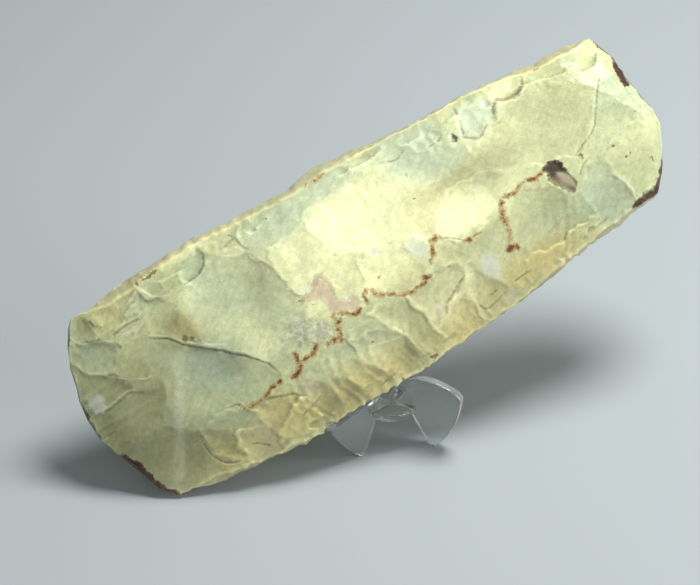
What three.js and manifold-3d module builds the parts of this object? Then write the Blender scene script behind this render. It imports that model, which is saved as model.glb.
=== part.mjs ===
// A knapped flint axe head that leans, seen face up, on a small clear moulded stand.
// The corner of its cutting edge touches the table and the stand props its middle.
// Millimetres, +Z up, X along the axe's length towards the butt.
import * as THREE from 'three';
import { mergeVertices } from 'three/addons/utils/BufferGeometryUtils.js';
import Module from 'manifold-3d';

const wasm = await Module();
wasm.setup();

// The axe in its own frame: x runs from cutting edge to butt, y across, z out of the face that shows.
const bladeX = -121;
const buttX = 128;
const widestX = -45;
const widestHalf = 44.5;
const bladeHalf = 42;
const buttHalf = 32.5;
const keelHalf = 19;
const sideHalf = 6.5;
const bladeEdgeHalf = 1.2;
const bladeTaper = 95;
const buttTaper = 38;
const buttKeelShare = 0.35;

// How the axe lies: its length climbs towards the butt and its face looks up at this angle.
const faceLift = 36;
const climb = 18.8;
const axeFromStand = { x: 2.1, y: 23.7 };
const cornerFlat = 0.4;

// How finely the axe is faceted.
const rows = 50;
const faceColumns = 16;
const sideColumns = 3;

// The stand: three upright fins on a small disc.
const finThickness = 3.4;
const footInner = 15.6;
const footOuter = 17.8;
const finReach = 31.4;
const finCorner = { r: 29.3, z: 29.2 };
const finTip = { r: 9, z: 31.8 };
const discRadius = 10.5;
const discBottom = 15;
const discTop = 17.6;
const rightFinTurn = -44.3;
const leftFinTurn = rightFinTurn - 120;
const backFinTurn = rightFinTurn + 106;
const leftFinTop = 24;
const backFootInner = 42;
const backFootOuter = 46.5;
const backTop = { r: 44, z: 64 };
const restGap = 0.45;

const flint = new THREE.MeshStandardMaterial({ color: 0xc9c79b, roughness: 0.45, metalness: 0 });
const clearPlastic = new THREE.MeshStandardMaterial({
  color: 0xdfe9e6, roughness: 0.08, metalness: 0, transparent: true, opacity: 0.35,
});

const degrees = THREE.MathUtils.degToRad;
const lerp = THREE.MathUtils.lerp;
const clamp = THREE.MathUtils.clamp;

// A repeatable stream of numbers from 0 to 1.
function dice(seed) {
  let state = seed;
  return (low = 0, high = 1) => {
    state = (state * 16807) % 2147483647;
    return low + (high - low) * (state / 2147483647);
  };
}

// The outline: half the width along the length, and the two curved ends.
function halfWidth(x) {
  if (x < widestX) {
    return widestHalf - (widestHalf - bladeHalf) * ((x - widestX) / (bladeX - widestX)) ** 2;
  }
  return widestHalf - (widestHalf - buttHalf) * ((x - widestX) / (buttX - widestX)) ** 2;
}

function bladeEnd(y) {
  return bladeX + 13 * Math.min(Math.abs(y) / bladeHalf, 1) ** 4;
}

function buttEnd(y) {
  const share = Math.min(Math.abs(y) / buttHalf, 1);
  const corner = y > 0 ? 6.5 * share ** 2 : 20 * share ** 2.6;
  return buttX - corner;
}

// Half the thickness on the keel and at the sides, from the distance to each end.
function swell(distance, taper, power) {
  const left = 1 - clamp(distance / taper, 0, 1);
  return (1 - left * left) ** power;
}

function keelAt(fromBlade, fromButt) {
  const blade = swell(fromBlade, bladeTaper, 0.75);
  const butt = lerp(buttKeelShare, 1, swell(fromButt, buttTaper, 0.5));
  return Math.max(bladeEdgeHalf, keelHalf * blade * butt);
}

function sideAt(fromBlade, fromButt) {
  const blade = swell(fromBlade, bladeTaper, 0.9);
  return Math.max(bladeEdgeHalf * 0.8, sideHalf * blade * lerp(0.7, 1, swell(fromButt, buttTaper, 0.5)));
}

function faceHeight(x, y) {
  const across = clamp(y / halfWidth(x), -1, 1);
  const fromBlade = Math.max(0, x - bladeEnd(y));
  const fromButt = Math.max(0, buttEnd(y) - x);
  const side = sideAt(fromBlade, fromButt);
  const keel = Math.max(side, keelAt(fromBlade, fromButt));
  return side + (keel - side) * (1 - across * across) ** 0.8;
}

// One turn round the section: over the seen face, down one side, back under and up the other.
function sectionTurn() {
  const turn = [];
  for (let i = 0; i < faceColumns; i += 1) turn.push({ across: 1 - (2 * i) / faceColumns, level: 1 });
  for (let i = 0; i < sideColumns; i += 1) turn.push({ across: -1, level: 1 - (2 * i) / sideColumns });
  for (let i = 0; i < faceColumns; i += 1) turn.push({ across: -1 + (2 * i) / faceColumns, level: -1 });
  for (let i = 0; i < sideColumns; i += 1) turn.push({ across: 1, level: -1 + (2 * i) / sideColumns });
  return turn;
}

// A flake scar is the hollow that a flat ellipsoid leaves where it dips below the surface.
function flakeScar(x, y, face, run, length, width, depth) {
  const step = 1;
  const rise = (faceHeight(x + step, y) - faceHeight(x - step, y)) / (2 * step);
  const lean = (faceHeight(x, y + step) - faceHeight(x, y - step)) / (2 * step);
  const out = new THREE.Vector3(-rise, -lean, 1).normalize();
  const along = new THREE.Vector3(Math.cos(degrees(run)), Math.sin(degrees(run)), 0);
  along.addScaledVector(out, -along.dot(out)).normalize();
  const across = new THREE.Vector3().crossVectors(out, along);
  const sunk = 0.8;
  const thick = depth / (1 - sunk);
  const spread = Math.sqrt(1 - sunk * sunk);
  const centre = new THREE.Vector3(x, y, faceHeight(x, y)).addScaledVector(out, thick * sunk);
  const axes = [along, across, out];
  if (face < 0) [centre, ...axes].forEach((vector) => { vector.z *= -1; });
  return { centre, axes, reach: [length / 2 / spread, width / 2 / spread, thick] };
}

// The large scars of the seen face: place, direction of the blow, length, width and depth.
const largeScars = [
  [4, 20, -80, 62, 60, 2.4],
  [-55, 22, -75, 58, 52, 2.2],
  [-78, -12, 60, 64, 50, 2.2],
  [89, 19, -70, 44, 62, 1.8],
  [42, 8, -95, 56, 44, 1.6],
  [66, -20, 95, 40, 50, 1.8],
  [112, -4, 170, 46, 38, 1.8],
  [96, -24, 110, 28, 34, 1.4],
  [0, -30, 95, 34, 44, 1.8],
  [38, -27, 85, 32, 34, 1.5],
  [-31, -31, 80, 32, 36, 1.6],
  [-62, -35, 75, 28, 34, 1.5],
];

function allScars() {
  const roll = dice(4127);
  const scars = largeScars.map(([x, y, ...shape]) => flakeScar(x, y, 1, ...shape));
  // The unseen face has plainer scars from both edges that meet near its keel.
  for (let x = -96; x < 112; x += 30) {
    [-1, 1].forEach((edge) => {
      const place = x + roll(-6, 6);
      scars.push(flakeScar(place, edge * roll(18, 26), -1, -90 * edge, roll(44, 58), roll(30, 42), roll(1.4, 2.4)));
    });
  }
  // Short scars along both long edges, on both faces.
  [-1, 1].forEach((face) => [-1, 1].forEach((edge) => {
    for (let x = -104; x < 116; x += 13) {
      const place = x + roll(-3, 3);
      const inset = roll(3, 7);
      const y = edge * (halfWidth(place) - inset);
      scars.push(flakeScar(place, y, face, -90 * edge, roll(16, 24), roll(11, 17), roll(0.8, 1.5)));
    }
  }));
  // Thinning scars that run in from the cutting edge and from the butt.
  [-1, 1].forEach((face) => {
    for (let y = -34; y < 36; y += 11) {
      scars.push(flakeScar(bladeEnd(y) + roll(10, 14), y, face, 0, roll(26, 36), roll(12, 16), roll(0.7, 1.1)));
    }
    for (let y = -24; y < 28; y += 13) {
      scars.push(flakeScar(buttEnd(y) - roll(6, 9), y, face, 180, roll(18, 24), roll(13, 18), roll(0.8, 1.3)));
    }
  });
  return scars;
}

// How far along the way from inner to outer the first scar begins.
function carve(inner, outer, scars) {
  const way = new THREE.Vector3().subVectors(outer, inner);
  const from = new THREE.Vector3();
  let reach = 1;
  scars.forEach(({ centre, axes, reach: size }) => {
    from.subVectors(inner, centre);
    const start = axes.map((axis, i) => from.dot(axis) / size[i]);
    const heading = axes.map((axis, i) => way.dot(axis) / size[i]);
    const a = heading.reduce((sum, value) => sum + value * value, 0);
    const b = heading.reduce((sum, value, i) => sum + value * start[i], 0);
    const c = start.reduce((sum, value) => sum + value * value, -1);
    const root = b * b - a * c;
    if (c <= 0 || root <= 0) return;
    const hit = (-b - Math.sqrt(root)) / a;
    if (hit > 0) reach = Math.min(reach, hit);
  });
  return Math.max(reach, 0.5);
}

function axeGeometry() {
  const turn = sectionTurn();
  const scars = allScars();
  const points = [];
  for (let row = 0; row <= rows; row += 1) {
    const even = row / rows;
    const share = lerp(even, (1 - Math.cos(Math.PI * even)) / 2, 0.55);
    turn.forEach(({ across, level }) => {
      const guess = lerp(bladeX, buttX, share);
      const y = across * halfWidth(guess);
      const x = lerp(bladeEnd(y), buttEnd(y), share);
      const fromBlade = x - bladeEnd(y);
      const fromButt = buttEnd(y) - x;
      const side = sideAt(fromBlade, fromButt);
      const top = Math.abs(across) < 1 ? faceHeight(x, y) : side;
      const outer = new THREE.Vector3(x, y, level * top);
      const depth = Math.max(2, side);
      const limit = halfWidth(guess) - Math.min(14, depth * 2);
      const innerX = clamp(x, bladeEnd(y) + 8, buttEnd(y) - 8);
      const inner = new THREE.Vector3(innerX, clamp(y, -limit, limit), 0);
      outer.sub(inner).multiplyScalar(carve(inner, outer.clone().add(inner), scars)).add(inner);
      points.push(outer);
    });
  }
  const ring = turn.length;
  const faces = [];
  for (let row = 0; row < rows; row += 1) {
    for (let i = 0; i < ring; i += 1) {
      const a = row * ring + i;
      const b = row * ring + ((i + 1) % ring);
      faces.push([a, b + ring, a + ring], [a, b, b + ring]);
    }
  }
  // Each end is closed by a strip from the seen face to the unseen one.
  [[0, -1], [rows * ring, 1]].forEach(([first, way]) => {
    const top = Array.from({ length: faceColumns + 1 }, (_, i) => first + i);
    const under = [];
    for (let i = 0; i <= faceColumns; i += 1) {
      const index = 2 * faceColumns + sideColumns - i;
      under.push(first + index);
    }
    for (let i = 0; i < faceColumns; i += 1) {
      const quad = [[top[i], top[i + 1], under[i + 1]], [top[i], under[i + 1], under[i]]];
      quad.forEach((face) => faces.push(way > 0 ? face : [face[0], face[2], face[1]]));
    }
    // The sides' own small ends, from their top and bottom corners to the points between.
    const sides = [
      Array.from({ length: sideColumns + 1 }, (_, i) => first + faceColumns + i),
      Array.from({ length: sideColumns + 1 }, (_, i) => first + ((2 * faceColumns + sideColumns + i) % ring)),
    ];
    sides.forEach((side) => {
      for (let i = 1; i < sideColumns; i += 1) {
        const face = [side[0], side[i], side[i + 1]];
        faces.push(way > 0 ? face : [face[0], face[2], face[1]]);
      }
    });
  });
  const geometry = new THREE.BufferGeometry();
  geometry.setAttribute('position', new THREE.Float32BufferAttribute(points.flatMap((p) => p.toArray()), 3));
  geometry.setIndex(faces.flat());
  return geometry;
}

// The turn that takes the axe's own frame to the way it lies.
function lying() {
  const length = new THREE.Vector3(Math.cos(degrees(climb)), 0, Math.sin(degrees(climb)));
  const up = Math.sin(degrees(faceLift)) / Math.cos(degrees(climb));
  const side = -Math.sqrt(1 - up * up);
  const face = new THREE.Vector3(-Math.sin(degrees(climb)) * up, side, Math.cos(degrees(climb)) * up);
  const across = new THREE.Vector3().crossVectors(face, length);
  return new THREE.Matrix4().makeBasis(length, across, face);
}

function layDown(geometry) {
  geometry.applyMatrix4(lying());
  geometry.computeBoundingBox();
  geometry.translate(axeFromStand.x, axeFromStand.y, -geometry.boundingBox.min.z - cornerFlat);
  const position = geometry.getAttribute('position');
  for (let i = 0; i < position.count; i += 1) position.setZ(i, Math.max(0, position.getZ(i)));
  return geometry;
}

function toSolid(geometry) {
  const bare = geometry.clone();
  bare.deleteAttribute('normal');
  bare.deleteAttribute('uv');
  const merged = mergeVertices(bare, 1e-4);
  const vertProperties = Float32Array.from(merged.getAttribute('position').array);
  const triVerts = Uint32Array.from(merged.index.array);
  return new wasm.Manifold(new wasm.Mesh({ numProp: 3, vertProperties, triVerts }));
}

function fromSolid(solid) {
  const mesh = solid.getMesh();
  const geometry = new THREE.BufferGeometry();
  geometry.setAttribute('position', new THREE.BufferAttribute(mesh.vertProperties.slice(), 3));
  geometry.setIndex(new THREE.BufferAttribute(mesh.triVerts.slice(), 1));
  return geometry;
}

// A front fin's outline: pointed foot, bulging outer edge, blunt corner, bowed top and open middle.
function frontFinOutline() {
  const shape = new THREE.Shape();
  shape.moveTo(0, discBottom);
  shape.lineTo(discRadius - 2, discBottom);
  shape.lineTo(footInner, 0);
  shape.lineTo(footOuter, 0);
  shape.quadraticCurveTo(29, 11, finReach, finCorner.z - 2.6);
  shape.lineTo(finCorner.r, finCorner.z);
  shape.quadraticCurveTo(19, 35.2, finTip.r, finTip.z);
  shape.quadraticCurveTo(6, discTop + 2, 0, discTop);
  return shape;
}

// The back fin's outline: a longer leg that reaches up behind the axe.
function backFinOutline() {
  const shape = new THREE.Shape();
  shape.moveTo(0, discBottom);
  shape.lineTo(discRadius - 2, discBottom);
  shape.lineTo(backFootInner, 0);
  shape.lineTo(backFootOuter, 0);
  shape.quadraticCurveTo(50, 28, backTop.r, backTop.z);
  shape.lineTo(finTip.r, finTip.z);
  shape.quadraticCurveTo(6, discTop + 2, 0, discTop);
  return shape;
}

function fin(outline, turn) {
  const settings = { depth: finThickness, bevelEnabled: false, curveSegments: 10 };
  const geometry = new THREE.ExtrudeGeometry(outline, settings);
  geometry.translate(0, 0, -finThickness / 2);
  geometry.rotateX(Math.PI / 2);
  geometry.rotateZ(degrees(turn));
  return toSolid(geometry);
}

function standGeometry(axe) {
  const disc = new THREE.CylinderGeometry(discRadius, discRadius - 1, discTop - discBottom, 36);
  disc.rotateX(Math.PI / 2);
  disc.translate(0, 0, (discTop + discBottom) / 2);
  const above = new THREE.BoxGeometry(200, 200, 100);
  above.translate(0, 0, leftFinTop + 50);
  const leftFin = fin(frontFinOutline(), leftFinTurn).subtract(toSolid(above));
  const whole = toSolid(disc)
    .add(fin(frontFinOutline(), rightFinTurn))
    .add(leftFin)
    .add(fin(backFinOutline(), backFinTurn));
  // The fins stop just short of the axe: it is cut away once for each way it could shift by the gap.
  const ways = [[1, 0, 0], [-1, 0, 0], [0, 1, 0], [0, -1, 0], [0, 0, 1], [0, 0, -1], [0, 0, 0]];
  const room = ways.map((way) => {
    const shift = new THREE.Vector3(...way).multiplyScalar(restGap);
    return toSolid(axe.clone().translate(...shift.toArray()));
  });
  return fromSolid(room.reduce((left, solid) => left.subtract(solid), whole));
}

function named(name, geometry, material) {
  const mesh = new THREE.Mesh(geometry, material);
  mesh.name = name;
  return mesh;
}

const axe = layDown(axeGeometry());
const work = new THREE.Group();
work.add(named('axe', axe, flint));
work.add(named('stand', standGeometry(axe), clearPlastic));

// The origin is the middle of the whole thing's underside.
const box = new THREE.Box3().setFromObject(work);
const centre = box.getCenter(new THREE.Vector3());
work.position.set(-centre.x, -centre.y, 0);
work.updateMatrixWorld(true);

export default work;
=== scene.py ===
# A knapped flint axe head that leans, seen face up, on a small clear moulded stand.
# The axe's own frame, in millimetres: x runs from cutting edge to butt, y across, z out of the seen face.
import math
import random

import bpy
import numpy as np
from mathutils import Matrix, Vector
from mathutils.bvhtree import BVHTree


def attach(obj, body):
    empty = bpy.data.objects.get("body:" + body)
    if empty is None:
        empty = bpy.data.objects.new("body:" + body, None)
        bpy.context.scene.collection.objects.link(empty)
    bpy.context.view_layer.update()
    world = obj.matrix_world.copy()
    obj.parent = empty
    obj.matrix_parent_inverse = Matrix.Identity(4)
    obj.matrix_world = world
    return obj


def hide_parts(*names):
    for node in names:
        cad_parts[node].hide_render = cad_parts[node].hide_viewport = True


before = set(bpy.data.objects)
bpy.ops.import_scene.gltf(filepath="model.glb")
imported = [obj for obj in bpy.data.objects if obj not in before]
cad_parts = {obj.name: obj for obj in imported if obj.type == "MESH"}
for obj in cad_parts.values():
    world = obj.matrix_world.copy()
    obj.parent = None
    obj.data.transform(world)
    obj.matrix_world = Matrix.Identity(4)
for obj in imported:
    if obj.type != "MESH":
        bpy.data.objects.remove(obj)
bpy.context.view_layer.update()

MM = 0.001
# A distance, in millimetres, that is out of the reach of every mark.
FAR = 60.0

# How the axe lies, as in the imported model.
FACE_LIFT = math.radians(36)
CLIMB = math.radians(18.8)
AXE_ORIGIN = Vector((-2.27, 7.12, 65.5))
STAND_AXIS = Vector((-4.37, -16.58, 0))

# Sizes of the axe, in millimetres: where its rows of points begin and how far they run, half its thickness
# at the keel, at the long sides and at the very edge of both ends, and how far from each end it tapers.
ROWS_START = -123
ROWS_REACH = 251
KEEL_HALF = 19.0
SIDE_HALF = 6.5
END_HALF = 0.06
BLADE_TAPER = 95.0
BUTT_TAPER = 38.0
# The share of the keel's height that is left at the butt.
BUTT_SHARE = 0.35
# The scars, and the later facets, are this much deeper than their own numbers say, so that they show.
SCAR_DEPTH = 1.15
FACET_DEPTH = 1.4
# How much closer together the rows are near both ends, and how finely the surface is divided: along the
# axe, and across each face and each long side.
CROWDING = 0.35
ROWS = 430
FRONT_COLUMNS = 150
BACK_COLUMNS = 57
SIDE_COLUMNS = 9
# Half the usual width of a face, and how far its bruised rim reaches in from the upper and the lower edge.
HALF_WIDTH = 44
RIM_REACH = (0.7, 1.3)
# The random unevenness repeats after this many cells, and is read this many cells from its corner.
LATTICE = 64
AWAY = (1000.37, 1000.71)
# How wide the mouth of a small scar may be, as shares of the usual width.
MOUTH_WIDTHS = (0.45, 0.6, 0.9, 1.2, 1.9)

# The outline as seen from in front of the face: pairs of place and reach.
UPPER_EDGE = [
    (-124, 42), (-110, 42.5), (-100, 42.6), (-85, 45), (-70, 44.8), (-58, 45.6), (-40, 44.3),
    (-12, 43.4), (0, 45), (6, 45.2), (20, 43), (45, 41), (70, 40), (92, 37.6), (97, 35.6), (102, 36.6),
    (112, 36.2), (118, 34.8), (129, 33),
]
LOWER_EDGE = [
    (-124, 39), (-107, 39.5), (-90, 43.2), (-80, 44.5), (-66, 45.4), (-55, 46.8), (-42, 44.7),
    (-30, 45.2), (0, 45.2), (20, 43.4), (38, 42.5), (60, 40), (80, 36.6), (97, 34.6), (113, 32.6),
    (129, 31),
]
BLADE_END = [
    (-42, -105.5), (-39.5, -107), (-33, -113), (-25, -115.5), (-18, -116.8), (-14.5, -120.5),
    (-12, -121.6), (-5, -123.4), (5, -123.5), (12, -123), (20, -121), (30, -118), (38, -113),
    (42.5, -110), (46, -109),
]
BUTT_END = [
    (-34, 111), (-32.5, 113), (-25, 120), (-20, 123), (-15, 126), (-10, 128), (-4, 129), (0, 128),
    (5, 127), (11, 126), (21, 125.6), (25, 124.5), (33.5, 121.5), (38, 120),
]
# The worn strip along the upper long edge, as wide as the view shows it.
STRIP = [
    (-118, 0.4), (-105, 2.6), (-90, 3.6), (-60, 2.6), (-40, 3.2), (-20, 3.2), (0, 4.2), (12, 3.8),
    (25, 2.2), (45, 1.0), (88, 0.8), (98, 1.4), (104, 3.0), (116, 2.2), (122, 0.4),
]
# The keel of the seen face, where its broad upper slope meets the lower one.
KEEL_LINE = [
    (-124, 0), (-108, -8), (-90, -14), (-70, -19), (-50, -19), (-30, -14), (-10, -11), (10, -14),
    (30, -9), (50, -8), (70, -5), (90, -3), (105, 5), (118, 10), (129, 10),
]


def along(pairs, place):
    """Reads a curve given as pairs of place and value."""
    places, values = zip(*pairs)
    return np.interp(place, places, values)


def eased(pairs, place):
    """The same curve with its corners rounded, so that no crease starts at them."""
    return sum(along(pairs, place + step) for step in (-5, -3, -1, 1, 3, 5)) / 6


def smoothstep(low, high, value):
    """Rises softly from 0 at low to 1 at high."""
    share = np.clip((value - low) / (high - low), 0, 1)
    return share * share * (3 - 2 * share)


def swell(distance, taper, power):
    """Rises from 0 at an edge to 1 where the taper ends, steep at first and flat at last."""
    left = 1 - np.clip(distance / taper, 0, 1)
    return (1 - left * left) ** power


def cloud(a, b, cell, seed):
    """Soft random unevenness from -1 to 1, with bumps about one cell wide."""
    lattice = np.random.RandomState(seed).uniform(-1, 1, (LATTICE, LATTICE))
    a = np.asarray(a) / cell + AWAY[0]
    b = np.asarray(b) / cell + AWAY[1]
    a_low = np.floor(a).astype(int)
    b_low = np.floor(b).astype(int)
    a_share = smoothstep(0, 1, a - a_low)
    b_share = smoothstep(0, 1, b - b_low)
    total = 0
    for i in (0, 1):
        for j in (0, 1):
            weight = (a_share if i else 1 - a_share) * (b_share if j else 1 - b_share)
            total = total + weight * lattice[(a_low + i) % LATTICE, (b_low + j) % LATTICE]
    return total


def waved(x, y, waves, seed):
    """The same places pushed about by soft waves, each given by its reach and the width of its bumps."""
    pushed = []
    for values in (x, y):
        for reach, cell in waves:
            values = values + reach * cloud(x, y, cell, seed)
            seed += 1
        pushed.append(values)
    return pushed


def notches(low, high, pitch, depth, seed):
    """Breaks an edge into the mouths of small scars: where each begins and ends, and how deep it bites."""
    roll = random.Random(seed)
    mouths = []
    place = low
    while place < high:
        width = roll.choice(MOUTH_WIDTHS) * roll.uniform(0.8, 1.2) * pitch
        mouths.append((place, place + width, roll.uniform(0.3, 1.0) * depth))
        place += width
    return mouths


def bite(place, mouths):
    """How deep the mouths bite into the outline at each place."""
    total = np.zeros_like(place)
    for start, end, depth in mouths:
        share = np.clip((place - start) / (end - start), 0, 1)
        total += depth * 4 * share * (1 - share)
    return total


UPPER_MOUTHS = notches(-110, 120, 9.0, 0.8, 11)
LOWER_MOUTHS = notches(-108, 112, 8.0, 1.3, 12)
BLADE_MOUTHS = notches(-38, 40, 6.0, 1.0, 13)
BUTT_MOUTHS = notches(-30, 33, 8.0, 0.9, 14)
BACK_MOUTHS = notches(-108, 116, 11.0, 1.1, 15)


def upper(x):
    """Where the upper long edge runs, with its bites; the three below give the other edges."""
    return along(UPPER_EDGE, x) - bite(x, UPPER_MOUTHS) + 0.3 * cloud(x, 0, 2.2, 21)


def lower(x):
    return along(LOWER_EDGE, x) - bite(x, LOWER_MOUTHS) + 0.35 + 0.3 * cloud(x, 9, 2.0, 22)


def blade_end(y):
    return along(BLADE_END, y) + bite(y, BLADE_MOUTHS) - 0.3 + 0.25 * cloud(y, 3, 1.8, 23)


def butt_end(y):
    return along(BUTT_END, y) - bite(y, BUTT_MOUTHS) + 0.3 + 0.25 * cloud(y, 5, 2.0, 24)


def side_at(from_blade, from_butt):
    """Half the thickness of the axe at its long sides."""
    blade = swell(from_blade, BLADE_TAPER, 0.9)
    return SIDE_HALF * blade * (0.7 + 0.3 * swell(from_butt, BUTT_TAPER, 0.5)) * swell(from_butt, 5, 0.5)


def keel_at(from_blade, from_butt):
    """Half the thickness of the axe at its keel."""
    blade = swell(from_blade, BLADE_TAPER, 0.75)
    butt = BUTT_SHARE + (1 - BUTT_SHARE) * swell(from_butt, BUTT_TAPER, 0.5)
    return KEEL_HALF * blade * butt * swell(from_butt, 5, 0.5)


def base_height(x, y, keel_line):
    """The height of the unflaked face over the middle plane."""
    middle = eased(KEEL_LINE, x) if keel_line else np.zeros_like(x)
    half = np.where(y > middle, eased(UPPER_EDGE, x) - middle, eased(LOWER_EDGE, x) + middle)
    share = np.clip(np.abs(y - middle) / half, 0, 1)
    from_blade = np.maximum(0, x - eased(BLADE_END, y))
    from_butt = np.maximum(0, eased(BUTT_END, y) - x)
    side = side_at(from_blade, from_butt)
    keel = np.maximum(side, keel_at(from_blade, from_butt))
    return side + (keel - side) * (1 - share ** 1.8) ** 0.9


# The oldest and broadest scars of the seen face: place, direction of the blow in degrees, length, width and
# depth.
SCARS = [
    (6, 22, -80, 56, 50, 0.9), (-55, 16, -70, 48, 40, 0.7), (-76, -4, 50, 50, 34, 1.5),
    (84, 17, -70, 40, 52, 0.8), (34, 18, -95, 44, 34, 0.7), (68, -18, 95, 32, 28, 0.8),
    (112, 0, 170, 40, 34, 0.8), (-97, -29, 70, 22, 22, 0.8), (51, 0, -110, 20, 27, 0.8),
]

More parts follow.
